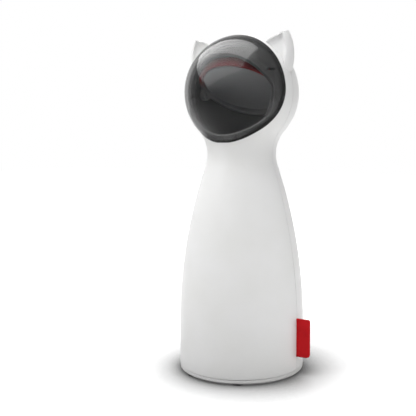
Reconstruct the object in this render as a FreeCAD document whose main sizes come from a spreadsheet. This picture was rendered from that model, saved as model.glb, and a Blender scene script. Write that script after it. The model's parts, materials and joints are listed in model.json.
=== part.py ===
import FreeCAD, Part
import math
import os
import types
import Sketcher
from FreeCAD import Vector

# Automatic cat laser toy: a bottle-shaped shell with a round head and two ears. A laser in the
# neck shines up at a large slanted mirror behind a smoked window; the mirror turns slowly, driven
# by a small motor through two pairs of gears, and the whole mirror unit tilts with the red knob
# at the back of the head. Millimetres, +Z up, the window faces -Y, and the origin is on the table
# under the centre of the base.

# ---------------------------------------------------------------- driving dimensions
SIZES = [
    # outer form: a straight foot, a long belly arc, a neck arc and a ball-shaped head
    ("base_radius", 42.5, "outside radius of the foot"),
    ("shell_foot_z", 4.0, "lower edge of the shells"),
    ("belly_start_z", 30.0, "where the foot ends and the belly arc starts"),
    ("belly_radius", 340.0, "radius of the belly arc"),
    ("neck_radius", 23.7, "radius of the hollow neck arc"),
    ("head_radius", 38.4, "outside radius of the head"),
    ("head_centre_z", 187.5, "centre of the head"),
    ("wall", 2.2, "wall of the shells and of the window"),
    ("lap_length", 1.6, "tongue of the front shell inside the rear shell"),
    ("lap_play", 0.08, "play between that tongue and the rear shell"),
    ("seam_gap", 0.25, "open joint between the two shells"),
    # window
    ("window_plane_y", 8.3, "upper window edge, ahead of the seam"),
    ("window_bend_rise", 2.5, "where the window edge starts to bend, over the head's centre"),
    ("window_bend_radius", 48.4, "radius of that bend"),
    ("window_foot_drop", 33.2, "window's lowest edge under the head's centre"),
    ("window_gap", 0.12, "joint between window and shell"),
    ("bezel_gap", 0.05, "play between window and bezel"),
    ("bezel_wall", 1.2, "wall of the bezel"),
    ("bezel_front_y", 15.3, "front edge of the bezel, ahead of the seam"),
    ("bezel_slant", 30.0, "forward slant of the bezel's upper edge, degrees"),
    ("bezel_back_y", 4.6, "rear edge of the bezel, ahead of the seam"),
    ("bezel_margin", 3.2, "width of the bezel along the lower window edge"),
    ("bezel_lip", 1.9, "depth of the bead along the bezel's front edge"),
    ("bezel_lip_width", 1.2, "width of that bead"),
    ("snap_width", 4.6, "snap slits of the bezel"),
    ("snap_height", 1.5, "height of the snap slits"),
    ("snap_x", 30.9, "middle of the side slits from the middle of the toy"),
    ("snap_rise", 13.1, "middle of the side slits over the head's centre"),
    ("snap_depth", 4.2, "depth of the side slits, from the bezel's front edge"),
    ("snap_top_x", 12.9, "middle of the top slits from the middle of the toy"),
    ("snap_top_y", 10.0, "middle of the top slits ahead of the seam"),
    # ears
    ("ear_tip_angle", 41.4, "ear tip from the vertical, round the head's centre, degrees"),
    ("ear_tip_rise", 13.9, "ear tip over the head's surface, before it is rounded"),
    ("ear_round", 1.1, "rounding of the ear tip"),
    ("ear_shoulder_in", 3.0, "where the inner edge starts to bend, inwards from the tip"),
    ("ear_shoulder_down", 1.9, "and down from the tip"),
    ("ear_edge_arc", 20.0, "radius of the ear's inner edge"),
    ("ear_side_arc", 27.4, "radius of the ear's outer side"),
    ("ear_inner_angle", 31.5, "inner foot of the ear from the vertical, degrees"),
    ("ear_inner_sunk", 2.8, "inner foot under the head's surface"),
    ("ear_outer_angle", 73.5, "outer foot of the ear from the vertical, degrees"),
    ("ear_outer_sunk", 1.4, "outer foot under the head's surface"),
    ("ear_root_angle", 57.1, "root of the ear inside the head from the vertical, degrees"),
    ("ear_root_sunk", 9.8, "that root under the head's surface"),
    ("ear_front", 5.2, "ear in front of the seam"),
    ("ear_front_sunk", 1.2, "how much lower the tip is at the ear's front face"),
    ("ear_front_inward", 1.2, "how much further in the tip is there"),
    ("ear_front_narrow", 3.6, "how much further in the outer side is there"),
    ("ear_rim", 0.8, "rim round the hollow in the ear's front face"),
    ("ear_hollow", 2.0, "depth of that hollow"),
    ("ear_waist", 5.5, "first section behind the seam"),
    ("ear_waist_sunk", 2.6, "how much lower the tip is there"),
    ("ear_waist_inward", 3.5, "how much further in the tip is there"),
    ("ear_waist_narrow", 1.4, "how much further in the outer side is there"),
    ("ear_heel", 9.5, "second section behind the seam"),
    ("ear_heel_sunk", 6.2, "how much lower the tip is there"),
    ("ear_heel_inward", 6.4, "how much further in the tip is there"),
    ("ear_heel_narrow", 3.0, "how much further in the outer side is there"),
    ("ear_back", 12.6, "end of the ear behind the seam"),
    ("ear_back_sunk", 16.8, "how much lower the tip is there"),
    ("ear_back_inward", 7.0, "how much further in the tip is there"),
    ("ear_back_narrow", 4.5, "how much further in the outer side is there"),
    # base plate, feet, battery bay and door
    ("plate_z", 0.8, "underside of the base plate"),
    ("plate_thickness", 3.0, "base plate"),
    ("plate_inset", 0.2, "base plate edge, inside the shell's outside"),
    ("plate_chamfer", 1.0, "lower edge of the base plate"),
    ("foot_radius", 3.5, "rubber foot"),
    ("foot_recess", 0.3, "how deep a foot is let into the plate"),
    ("foot_inset", 4.3, "middle of a foot inside the shell's outside"),
    ("front_foot_angle", 63.4, "front feet from the X axis, degrees"),
    ("rear_foot_angle", 32.2, "rear feet from the X axis, degrees"),
    ("cell_radius", 7.1, "AA cell"),
    ("cell_length", 49.2, "AA cell without its nub"),
    ("nub_radius", 2.7, "nub of the cell"),
    ("nub_length", 1.3, "length of the nub"),
    ("cell_pitch", 15.0, "cell to cell"),
    ("cell_lift", 0.1, "cells over the closed door"),
    ("bay_side_play", 0.8, "free space beside the outer cells"),
    ("bay_length", 54.0, "length of the battery bay"),
    ("bay_board_gap", 4.4, "free space from the bay to the main board"),
    ("bay_wall", 1.5, "walls of the battery box"),
    ("bay_head_room", 0.5, "free space over the cells"),
    ("contact_sheet", 0.3, "sheet of the battery contacts"),
    ("contact_half", 4.5, "half width of a contact"),
    ("contact_rise", 4.0, "height of a contact over the cells' axes"),
    ("door_thickness", 1.8, "battery door"),
    ("door_play", 0.3, "play around the battery door"),
    ("door_lip", 1.2, "guide lip along each side of the door"),
    ("door_lip_thickness", 0.9, "thickness of the guide lips"),
    ("door_lip_play", 0.15, "play above and below the lips"),
    ("door_grip_half", 8.0, "half width of the door's grip"),
    ("door_grip_width", 1.2, "width of a groove of the grip, and of the rib beside it"),
    ("door_grip_depth", 0.5, "depth of those grooves"),
    ("door_strip_half", 25.0, "half width of the door's rear strip"),
    ("door_strip_z", 7.5, "top of the door's rear strip"),
    # screws and bosses
    ("screw_radius", 1.1, "shank of the self-tapping screws"),
    ("screw_head_radius", 2.0, "head of the screws"),
    ("screw_head_height", 1.3, "height of the heads"),
    ("screw_play", 0.25, "play round a shank or a head"),
    ("thread_play", 0.03, "shank to its pilot hole, radial"),
    ("boss_radius", 3.0, "screw boss"),
    ("boss_inset", 4.9, "middle of a base boss inside the shell's outside"),
    ("boss_angle", 20.0, "angle of the base bosses from the X axis, degrees"),
    ("boss_top_z", 17.0, "top of the base bosses"),
    # rear details
    ("button_z", 50.5, "height of the mode button"),
    ("button_radius", 7.2, "mode button"),
    ("button_play", 0.3, "play round the button"),
    ("button_sunk", 0.9, "button's face inside the shell's outside"),
    ("button_dome", 0.5, "how far the outer face is domed"),
    ("button_flange", 1.4, "width of the retaining flange"),
    ("button_flange_thickness", 0.9, "thickness of that flange"),
    ("button_travel", 0.5, "travel of the button"),
    ("guide_wall", 2.0, "wall of the button's guide ring"),
    ("guide_depth", 4.6, "inner end of the guide ring inside the shell's outside"),
    ("dish_width", 5.2, "width of the hollow round the button"),
    ("dish_depth", 1.5, "depth of that hollow"),
    ("port_z", 18.5, "height of the charging port"),
    ("port_width", 10.0, "opening of the port"),
    ("port_height", 3.2, "height of that opening"),
    # side tag
    ("tag_bottom_z", 13.0, "lower edge of the fabric tag"),
    ("tag_top_z", 38.6, "upper edge of the fabric tag"),
    ("tag_reach", 9.5, "how far the tag stands out"),
    ("tag_root", 3.4, "how far it reaches into the seam"),
    ("tag_thickness", 1.6, "folded thickness"),
    ("tag_lower_round", 3.2, "rounding of the outer lower corner"),
    ("tag_upper_round", 0.9, "rounding of the outer upper corner"),
    # electronics
    ("board_depth", 11.5, "rear face of the main board inside the shell's outside"),
    ("board_thickness", 1.6, "circuit boards"),
    ("board_half_width", 14.0, "half width of the main board"),
    ("board_bottom_z", 12.0, "lower edge of the main board"),
    ("board_top_z", 72.0, "upper edge of the main board"),
    ("board_hole_x", 11.0, "board screws from the middle"),
    ("board_low_hole_z", 28.0, "lower board screws"),
    ("board_high_hole_z", 66.0, "upper board screws"),
    ("chip_side", 8.0, "side of the controller chip"),
    ("chip_height", 1.4, "height of the chip"),
    ("chip_z", 50.0, "middle of the chip"),
    ("can_radius", 2.6, "capacitor on the board"),
    ("can_height", 6.0, "height of the capacitor"),
    ("can_x", 7.5, "capacitor from the middle"),
    ("can_z", 38.0, "height of the capacitor's place"),
    ("plug_width", 6.4, "cable plugs on the board"),
    ("plug_height", 4.6, "height of the plugs along the board"),
    ("plug_depth", 4.8, "how far the plugs stand out"),
    ("plug_x", 5.2, "middle of a plug from the middle"),
    ("plug_z", 61.0, "middle of the plugs"),
    ("post_radius", 2.4, "post of a board screw"),
    ("switch_side", 6.0, "tact switch"),
    ("switch_height", 3.5, "height of the tact switch body"),
    ("plunger_radius", 1.7, "switch plunger"),
    ("plunger_height", 1.5, "plunger out of its body"),
    ("plunger_root", 0.7, "plunger inside its body"),
    ("contact_gap", 0.1, "gap between button stem and plunger"),
    ("usb_width", 7.5, "micro USB socket"),
    ("usb_height", 2.5, "height of the socket"),
    ("usb_depth", 5.6, "depth of the socket"),
    ("usb_sunk", 1.1, "mouth of the socket inside the shell's outside"),
    ("usb_sheet", 0.35, "sheet of the socket"),
    ("usb_board_half", 8.0, "half width of the port board"),
    ("usb_overhang", 2.4, "socket beyond the end of the port board"),
    # laser
    ("laser_radius", 3.25, "laser barrel"),
    ("laser_drop", 37.5, "upper end of the barrel under the head's centre"),
    ("laser_length", 19.0, "length of the barrel"),
    ("lens_radius", 2.4, "lens in the barrel"),
    ("lens_depth", 1.2, "lens below the barrel's end"),
    ("holder_drop", 49.5, "seat of the laser holder under the head's centre"),
    ("holder_thickness", 2.0, "disc of the laser holder"),
    ("neck_play", 0.35, "play between the wall of the neck and what stands in it"),
    ("holder_tube", 5.2, "outside radius of the holder's tube"),
    ("holder_tube_height", 7.5, "height of that tube over the disc"),
    ("ledge_width", 3.4, "width of the ledges in the neck"),
    ("ledge_thickness", 1.5, "thickness of the ledges"),
    ("wire_hole_at", 12.0, "wire holes of the laser holder from the middle"),
    ("wire_hole_radius", 2.4, "those holes"),
    # inner bowl
    ("bowl_gap", 0.4, "gap between the inner bowl and the shell"),
    ("bowl_wall", 1.2, "wall of the bowl"),
    ("bowl_floor_rise", 1.1, "bowl's floor over the lowest point of the ball-shaped inside"),
    ("bowl_floor", 1.4, "thickness of the floor"),
    ("bowl_front_y", 4.0, "front edge of the bowl, ahead of the seam"),
    ("bowl_hole", 4.2, "hole over the laser"),
    # tilting mirror unit, measured along its own axis from the centre of the head
    ("stem_angle", 30.0, "axis of the mirror unit from the vertical, degrees"),
    ("tilt_travel", 20.0, "how far the knob swings, degrees"),
    ("unit_gap", 4.4, "gap between the mirror frame and the bowl"),
    ("ring_front", 1.7, "front face of the frame's ring"),
    ("ring_wall", 2.0, "wall of the ring"),
    ("frame_back", 6.5, "front face of the frame's back"),
    ("frame_wall", 1.4, "back of the frame"),
    ("mirror_gap", 1.2, "gap round the mirror"),
    ("mirror_thickness", 1.2, "mirror"),
    ("mirror_at", 3.9, "middle of the mirror along the axis"),
    ("wobble", 3.0, "slant of the mirror on its carrier, degrees"),
    ("carrier_radius", 9.0, "mirror carrier"),
    ("carrier_wall", 1.0, "mirror carrier"),
    ("hub_radius", 3.6, "hub of the carrier"),
    ("spindle_radius", 1.5, "steel spindle"),
    ("running_play", 0.05, "radial play of a turning shaft"),
    ("fit_play", 0.02, "radial play of a fixed pin"),
    ("lug_radius", 4.0, "pivot lug"),
    ("lug_rise", 0.9, "pivot lugs beyond the ring"),
    ("pivot_radius", 1.5, "pivot pin"),
    # gears
    ("gear_module", 0.5, "tooth size"),
    ("gear_pressure", 20.0, "pressure angle, degrees"),
    ("wheel_teeth", 36.0, "teeth of the large gears"),
    ("pinion_teeth", 12.0, "teeth of the pinions"),
    ("tooth_play", 0.06, "taken off each flank"),
    ("addendum", 0.8, "tooth above the pitch circle, in modules"),
    ("dedendum", 1.25, "tooth below the pitch circle, in modules"),
    ("gear_width", 2.0, "width of a gear"),
    ("gear_gap", 0.4, "gap between the layers of gears"),
    ("axle_radius", 1.0, "axle of the idler and the motor"),
    ("motor_offset", 11.0, "motor axis from the unit's axis"),
    ("cover_wall", 1.2, "wall of the gear cover"),
    ("cover_top", 1.4, "top of the gear cover"),
    ("cover_reach", 12.4, "cover beyond the output gear's axis"),
    ("cover_corner", 6.0, "corner radius of the gear cover"),
    ("motor_radius", 6.0, "motor can"),
    ("motor_flat", 5.0, "flat side of the can from its axis"),
    ("motor_length", 10.5, "motor can"),
    ("motor_cap", 1.6, "plastic end of the motor"),
    ("motor_boss", 2.0, "bearing boss of the motor"),
    # knob and its slot
    ("stem_width", 2.8, "stem of the knob across the slot"),
    ("stem_depth", 3.2, "stem of the knob along the slot"),
    ("knob_lead", 3.0, "knob behind the axis of the mirror unit, degrees"),
    ("stem_foot_radius", 4.4, "foot of the stem on the gear cover"),
    ("stem_foot_height", 1.6, "height of that foot"),
    ("slot_width", 6.6, "slot in the shell"),
    ("slot_overrun", 0.2, "middles of the slot's round ends beyond the stem's limits, degrees"),
    ("stem_room", 0.4, "free space round the stem in the bowl"),
    ("knob_gap", 0.35, "knob over the shell"),
    ("knob_height", 7.2, "knob"),
    ("knob_length", 6.4, "grip of the knob along the slot"),
    ("knob_width", 5.4, "grip of the knob across the slot"),
    ("knob_dome", 6.5, "radius of the grip's domed top"),
    ("knob_rib", 0.36, "radius of the grooves between the knob's ribs"),
    ("knob_taper", 3.5, "draft of the knob, degrees"),
    ("skirt_width", 6.4, "skirt of the knob across the slot"),
    ("skirt_front", 1.8, "skirt beyond the grip at the upper end"),
    ("skirt_back", 0.4, "skirt beyond the grip at the lower end"),
    ("skirt_height", 0.9, "thickness of the skirt"),
]

doc = FreeCAD.newDocument("cat_laser_toy")
PARTS = []


class Size:
    """A length or an angle: its number now, and the expression that ties it to the sheet."""

    def __init__(self, value, text):
        self.value = float(value)
        self.text = text

    def __add__(self, other):
        other = as_size(other)
        return Size(self.value + other.value, f"({self.text} + {other.text})")

    def __sub__(self, other):
        other = as_size(other)
        return Size(self.value - other.value, f"({self.text} - {other.text})")

    def __mul__(self, other):
        other = as_size(other)
        return Size(self.value * other.value, f"({self.text} * {other.text})")

    def __truediv__(self, other):
        other = as_size(other)
        return Size(self.value / other.value, f"({self.text} / {other.text})")

    def __neg__(self):
        return Size(-self.value, f"(-1 * {self.text})")

    __radd__ = __add__
    __rmul__ = __mul__


def as_size(value):
    return value if isinstance(value, Size) else Size(value, repr(float(value)))


def root(area):
    return Size(math.sqrt(area.value), f"sqrt({area.text})")


def sine(angle):
    return Size(math.sin(math.radians(angle.value)), f"sin({angle.text})")


def cosine(angle):
    return Size(math.cos(math.radians(angle.value)), f"cos({angle.text})")


def arccosine(ratio):
    return Size(math.degrees(math.acos(ratio.value)), f"acos({ratio.text})")


def make_sheet():
    """The spreadsheet: column A says what a size is, column B holds it."""
    sheet = doc.addObject("Spreadsheet::Sheet", "dims")
    sizes = types.SimpleNamespace()
    for row, (alias, value, meaning) in enumerate(SIZES, start=1):
        sheet.set(f"A{row}", meaning)
        sheet.set(f"B{row}", str(value))
        sheet.setAlias(f"B{row}", alias)
        setattr(sizes, alias, Size(value, f"dims.{alias}"))
    doc.recompute()
    return sizes


D = make_sheet()


# ---------------------------------------------------------------- drawing helpers
def new_body(label):
    body = doc.addObject("PartDesign::Body", label)
    body.Label = label
    PARTS.append(body)
    return body


def tie(target, prop, size):
    """Set a property from a size and keep it tied to the sheet."""
    size = as_size(size)
    target.setExpression(prop, size.text)


class Drawing:
    """A sketch on one of its body's origin planes, dimensioned from named sizes.

    XY: x is +X and y is +Y.  XZ: x is +X and y is +Z, its normal is -Y.
    YZ: x is +Y and y is +Z, its normal is +X."""

    def __init__(self, body, name, plane, offset=None):
        self.body = body
        self.sketch = body.newObject("Sketcher::SketchObject", name)
        role = plane + "_Plane"
        support = [item for item in body.Origin.OriginFeatures if item.Role == role][0]
        self.sketch.AttachmentSupport = [(support, "")]
        self.sketch.MapMode = "FlatFace"
        if offset is not None:
            tie(self.sketch, "AttachmentOffset.Base.z", offset)

    def constrain(self, kind, *items):
        """Add a constraint; a Size at the end becomes its datum, tied to the sheet."""
        if isinstance(items[-1], Size):
            size = items[-1]
            index = self.sketch.addConstraint(Sketcher.Constraint(kind, *items[:-1], size.value))
            if "dims." in size.text:
                self.sketch.setExpression(f"Constraints[{index}]", size.text)
        else:
            self.sketch.addConstraint(Sketcher.Constraint(kind, *items))

    def place(self, geometry, point, x=None, y=None):
        """Dimension one point of a geometry from the sketch's origin."""
        if x is not None:
            self.constrain("DistanceX", -1, 1, geometry, point, as_size(x))
        if y is not None:
            self.constrain("DistanceY", -1, 1, geometry, point, as_size(y))

    def circle(self, x, y, radius):
        x, y, radius = as_size(x), as_size(y), as_size(radius)
        ring = Part.Circle(Vector(x.value, y.value, 0), Vector(0, 0, 1), radius.value)
        index = self.sketch.addGeometry(ring, False)
        self.place(index, 3, x, y)
        self.constrain("Radius", index, radius)
        return self

    def outline(self, corners):
        """A closed outline of (x, y) corners. (x, y, radius) draws an arc on to the next corner:
        it turns left when the radius is positive and right when it is negative."""
        count = len(corners)
        spots = [(as_size(corner[0]), as_size(corner[1])) for corner in corners]
        ends = []
        for i, corner in enumerate(corners):
            start = Vector(spots[i][0].value, spots[i][1].value, 0)
            finish = Vector(spots[(i + 1) % count][0].value, spots[(i + 1) % count][1].value, 0)
            if len(corner) == 2:
                index = self.sketch.addGeometry(Part.LineSegment(start, finish), False)
                ends.append((index, 1, 2))
            else:
                index, first, last = self.arc(start, finish, as_size(corner[2]))
                ends.append((index, first, last))
        for i, (x, y) in enumerate(spots):
            before, here = ends[i - 1], ends[i]
            self.constrain("Coincident", before[0], before[2], here[0], here[1])
            self.place(here[0], here[1], x, y)
        return self

    def arc(self, start, finish, radius):
        """A minor arc with a given radius; returns its index and the ends at start and finish."""
        chord = finish - start
        rise = math.sqrt(max(radius.value ** 2 - chord.Length ** 2 / 4, 0))
        left = Vector(-chord.y, chord.x, 0).normalize()
        side = 1 if radius.value > 0 else -1
        centre = (start + finish) * 0.5 + left * (rise * side)
        first, last = (start, finish) if side > 0 else (finish, start)
        begin = math.atan2(first.y - centre.y, first.x - centre.x)
        stop = math.atan2(last.y - centre.y, last.x - centre.x)
        stop += 2 * math.pi if stop < begin else 0
        circle = Part.Circle(centre, Vector(0, 0, 1), abs(radius.value))
        index = self.sketch.addGeometry(Part.ArcOfCircle(circle, begin, stop), False)
        self.constrain("Radius", index, radius if side > 0 else -radius)
        return (index, 1, 2) if side > 0 else (index, 2, 1)

    def box(self, x_low, x_high, y_low, y_high):
        return self.outline([(x_low, y_low), (x_high, y_low), (x_high, y_high), (x_low, y_high)])

    def round_box(self, half_x, low_y, high_y, corner):
        """A rectangle with round corners, as wide to both sides."""
        near = half_x - corner
        return self.outline([
            (near, low_y, corner), (half_x, low_y + corner), (half_x, high_y - corner, corner),
            (near, high_y), (-near, high_y, corner), (-half_x, high_y - corner),
            (-half_x, low_y + corner, corner), (-near, low_y)])

    def pad(self, name, length, reverse=False, symmetric=False, taper=None):
        return self.extrude("PartDesign::Pad", name, length, reverse, symmetric, taper)

    def pocket(self, name, length, reverse=False, symmetric=False):
        return self.extrude("PartDesign::Pocket", name, length, reverse, symmetric, None)

    def extrude(self, kind, name, length, reverse, symmetric, taper):
        feature = self.body.newObject(kind, name)
        feature.Profile = self.sketch
        tie(feature, "Length", length)
        feature.Reversed = reverse
        if symmetric:
            feature.SideType = "Symmetric"
        if taper is not None:
            tie(feature, "TaperAngle", taper)
        self.sketch.Visibility = False
        return feature

    def turn(self, name, axis="V_Axis", angle=360, reverse=False):
        return self.swing("PartDesign::Revolution", name, axis, angle, reverse)

    def groove(self, name, axis="V_Axis", angle=360, reverse=False):
        return self.swing("PartDesign::Groove", name, axis, angle, reverse)

    def swing(self, kind, name, axis, angle, reverse):
        feature = self.body.newObject(kind, name)
        feature.Profile = self.sketch
        feature.ReferenceAxis = (self.sketch, [axis])
        feature.Angle = angle
        feature.Reversed = reverse
        return feature


def neck_arc_centre():
    """Centre of the neck arc, which touches both the belly arc and the head."""
    belly = Vector(D.base_radius.value - D.belly_radius.value, D.belly_start_z.value, 0)
    head = Vector(0, D.head_centre_z.value, 0)
    to_belly = D.belly_radius.value + D.neck_radius.value
    to_head = D.head_radius.value + D.neck_radius.value
    apart = (head - belly).Length
    along = (to_belly ** 2 - to_head ** 2 + apart ** 2) / (2 * apart)
    across = math.sqrt(to_belly ** 2 - along ** 2)
    forward = (head - belly) / apart
    return belly + forward * along + Vector(forward.y, -forward.x, 0) * across


def side_line(drawing, inset, foot):
    """The side of the toy from foot to crown, moved inwards by inset: a straight line and three
    arcs, each touching the next. Returns the line and the arc of the head."""
    inset = as_size(inset)
    belly_centre = Vector(D.base_radius.value - D.belly_radius.value, D.belly_start_z.value, 0)
    head_centre = Vector(0, D.head_centre_z.value, 0)
    neck_centre = neck_arc_centre()
    to_neck = neck_centre - belly_centre
    to_head = head_centre - neck_centre
    belly_end = math.atan2(to_neck.y, to_neck.x)
    head_start = math.atan2(-to_head.y, -to_head.x)
    neck_start = math.atan2(to_head.y, to_head.x)
    straight = Part.LineSegment(Vector(D.base_radius.value - inset.value, foot.value, 0),
                                Vector(D.base_radius.value - inset.value, belly_centre.y, 0))
    belly, neck, head = D.belly_radius - inset, D.neck_radius + inset, D.head_radius - inset
    up = Vector(0, 0, 1)
    shapes = [
        straight,
        Part.ArcOfCircle(Part.Circle(belly_centre, up, belly.value), 0, belly_end),
        Part.ArcOfCircle(Part.Circle(neck_centre, up, neck.value), neck_start, math.pi + belly_end),
        Part.ArcOfCircle(Part.Circle(head_centre, up, head.value), head_start, math.pi / 2),
    ]
    line, belly_arc, neck_arc, head_arc = [drawing.sketch.addGeometry(s, False) for s in shapes]
    drawing.constrain("Vertical", line)
    drawing.place(line, 1, y=foot)
    drawing.constrain("Radius", belly_arc, belly)
    drawing.place(belly_arc, 3, D.base_radius - D.belly_radius, D.belly_start_z)
    drawing.constrain("Radius", neck_arc, neck)
    drawing.constrain("Radius", head_arc, head)
    drawing.constrain("PointOnObject", head_arc, 3, -2)
    drawing.place(head_arc, 3, y=D.head_centre_z)
    drawing.constrain("Tangent", line, 2, belly_arc, 1)
    drawing.constrain("Tangent", belly_arc, 2, neck_arc, 2)
    drawing.constrain("Tangent", neck_arc, 1, head_arc, 1)
    drawing.constrain("PointOnObject", head_arc, 2, -2)
    return line, head_arc


def link(drawing, first, first_end, second, second_end, direction):
    """A straight line between two ends that are there already."""
    start = drawing.sketch.getPoint(first, first_end)
    finish = drawing.sketch.getPoint(second, second_end)
    line = drawing.sketch.addGeometry(Part.LineSegment(start, finish), False)
    drawing.constrain("Coincident", first, first_end, line, 1)
    drawing.constrain("Coincident", line, 2, second, second_end)
    if direction:
        drawing.constrain(direction, line)


def wall_section(body, name, outer_inset, inner_inset, foot):
    """The section of a wall that follows the side of the toy."""
    drawing = Drawing(body, name, "XZ")
    outer_line, outer_head = side_line(drawing, outer_inset, foot)
    inner_line, inner_head = side_line(drawing, inner_inset, foot)
    link(drawing, outer_line, 1, inner_line, 1, None)
    link(drawing, outer_head, 2, inner_head, 2, None)
    return drawing


def outside_section(body, name, inset, foot, reach):
    """Everything outside the side of the toy, up to a distance that clears the whole body."""
    drawing = Drawing(body, name, "XZ")
    line, head = side_line(drawing, inset, foot)
    top = D.head_centre_z + reach
    corners = [(as_size(0), top), (reach, top), (reach, foot)]
    sides = []
    for (x1, y1), (x2, y2) in zip(corners, corners[1:]):
        side = Part.LineSegment(Vector(x1.value, y1.value, 0), Vector(x2.value, y2.value, 0))
        index = drawing.sketch.addGeometry(side, False)
        drawing.place(index, 1, x1, y1)
        sides.append(index)
    drawing.place(sides[-1], 2, reach, foot)
    drawing.constrain("Coincident", sides[0], 2, sides[1], 1)
    link(drawing, head, 2, sides[0], 1, None)
    link(drawing, line, 1, sides[-1], 2, None)
    return drawing


def window_edge(gap):
    """The window's edge in side view, from its foot to the bend: a point and the arc's radius."""
    radius = D.window_bend_radius - gap
    drop = WINDOW_BEND_Z - WINDOW_FOOT_Z
    bend_y = -(D.window_plane_y + D.window_bend_radius)
    foot_y = bend_y + root(radius * radius - drop * drop)
    return foot_y, radius, bend_y + radius


def inside_radius(height):
    """Radius of the space inside the shell at a height of the belly or the neck, less the play
    of what stands in it."""
    neck = neck_arc_centre()
    belly_x = D.base_radius.value - D.belly_radius.value
    lean = math.atan2(neck.y - D.belly_start_z.value, neck.x - belly_x)
    meet = D.belly_start_z.value + D.belly_radius.value * math.sin(lean)
    if height.value < meet:
        inner = D.belly_radius.value - D.wall.value
        radius = belly_x + math.sqrt(inner ** 2 - (height.value - D.belly_start_z.value) ** 2)
    else:
        inner = D.neck_radius.value + D.wall.value
        radius = neck.x - math.sqrt(inner ** 2 - (height.value - neck.y) ** 2)
    return as_size(radius) - D.neck_play


# sizes that follow from the driving ones
REACH = D.base_radius * 2
PAST_WALL = D.base_radius + D.wall
MIDDLE = D.wall / 2
WINDOW_BEND_Z = D.head_centre_z + D.window_bend_rise
WINDOW_FOOT_Z = D.head_centre_z - D.window_foot_drop
BOWL_OUTSIDE = D.head_radius - D.wall - D.bowl_gap
BOWL_INSIDE = BOWL_OUTSIDE - D.bowl_wall
BOWL_FLOOR_Z = D.head_centre_z - BOWL_INSIDE + D.bowl_floor_rise - D.bowl_floor
HOLDER_Z = D.head_centre_z - D.holder_drop
LASER_TOP_Z = D.head_centre_z - D.laser_drop
KNOB_ANGLE = D.stem_angle + D.knob_lead
KNOB_Y = D.head_radius * sine(D.knob_lead)
UNIT_RADIUS = BOWL_INSIDE - D.unit_gap
RING_BORE = UNIT_RADIUS - D.ring_wall
LUG_OUTER = UNIT_RADIUS + D.lug_rise
BOARD_Y = D.base_radius - D.board_depth
USB_MOUTH_Y = D.base_radius - D.usb_sunk
BAY_BACK_Y = BOARD_Y - D.board_thickness - D.bay_board_gap
BAY_FRONT_Y = D.bay_length - BAY_BACK_Y
BUTTON_FACE_Y = D.base_radius - D.button_sunk
GUIDE_INNER_Y = D.base_radius - D.guide_depth
CELL_Z = D.plate_z + D.door_thickness + D.cell_lift + D.cell_radius


def boss_place():
    """Where the boss at the left rear of the base stands."""
    circle = D.base_radius - D.boss_inset
    return circle * cosine(D.boss_angle), circle * sine(D.boss_angle)


def add_base_bosses(body, side):
    """Two screw bosses down to the base plate, on the side (+1 rear, -1 front) of the seam."""
    x, y = boss_place()
    y = y * side
    bosses = Drawing(body, "BossSketch", "XY", D.plate_z + D.plate_thickness)
    bosses.circle(x, y, D.boss_radius).circle(-x, y, D.boss_radius)
    bosses.pad("Bosses", D.boss_top_z - D.plate_z - D.plate_thickness)


def drill_base_bosses(body, side):
    x, y = boss_place()
    y = y * side
    pilots = Drawing(body, "PilotSketch", "XY", D.plate_z + D.plate_thickness)
    pilot = D.screw_radius + D.thread_play
    pilots.circle(x, y, pilot).circle(-x, y, pilot)
    pilots.pocket("Pilots", D.boss_top_z - D.plate_z - D.plate_thickness - D.wall, reverse=True)


def add_ledges(body, reverse):
    """Two ledges inside the neck, for the laser holder and for the bowl."""
    ledges = Drawing(body, "LedgeSketch", "XZ")
    for seat in (HOLDER_Z, BOWL_FLOOR_Z):
        ledges.box(inside_radius(seat) - D.ledge_width, D.base_radius,
                   seat - D.ledge_thickness, seat)
    ledges.turn("Ledges", angle=180, reverse=reverse)


def on_head(angle, rise):
    """A point over the head's surface, at an angle from the vertical round its centre."""
    distance = D.head_radius + rise
    return distance * sine(angle), D.head_centre_z + distance * cosine(angle)


def ear_section(body, hand, back, sunk, inward, narrow):
    """The section of an ear at a distance behind the seam. Its tip has sunk there, and the tip
    and the outer side have moved inwards."""
    root_x, root_z = on_head(D.ear_root_angle, -D.ear_root_sunk)
    outer_x, outer_z = on_head(D.ear_outer_angle, -D.ear_outer_sunk)
    inner_x, inner_z = on_head(D.ear_inner_angle, -D.ear_inner_sunk)
    top_x, top_z = on_head(D.ear_tip_angle, D.ear_tip_rise)
    tip_x, tip_z, curve = top_x - inward, top_z - sunk, D.ear_round
    section = Drawing(body, "EarSection", "XZ", -as_size(back))
    section.outline([
        (root_x * hand, root_z),
        ((outer_x - narrow) * hand, outer_z, D.ear_side_arc * hand),
        ((tip_x + curve * 0.514) * hand, tip_z - curve * 0.916, curve * hand),
        ((tip_x - curve * 0.89) * hand, tip_z - curve * 0.556),
        ((tip_x - D.ear_shoulder_in) * hand, tip_z - D.ear_shoulder_down, D.ear_edge_arc * hand),
        (inner_x * hand, inner_z - sunk * 0.4),
    ])
    return section.sketch


def loft_ears(body, kind, name, steps):
    """Both ears, or both of their hollows, through the same sections left and right."""
    for hand in (1, -1):
        sections = [ear_section(body, hand, *step) for step in steps]
        loft = body.newObject(kind, ("Left" if hand > 0 else "Right") + name)
        loft.Profile = sections[0]
        loft.Sections = sections[1:]


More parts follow.
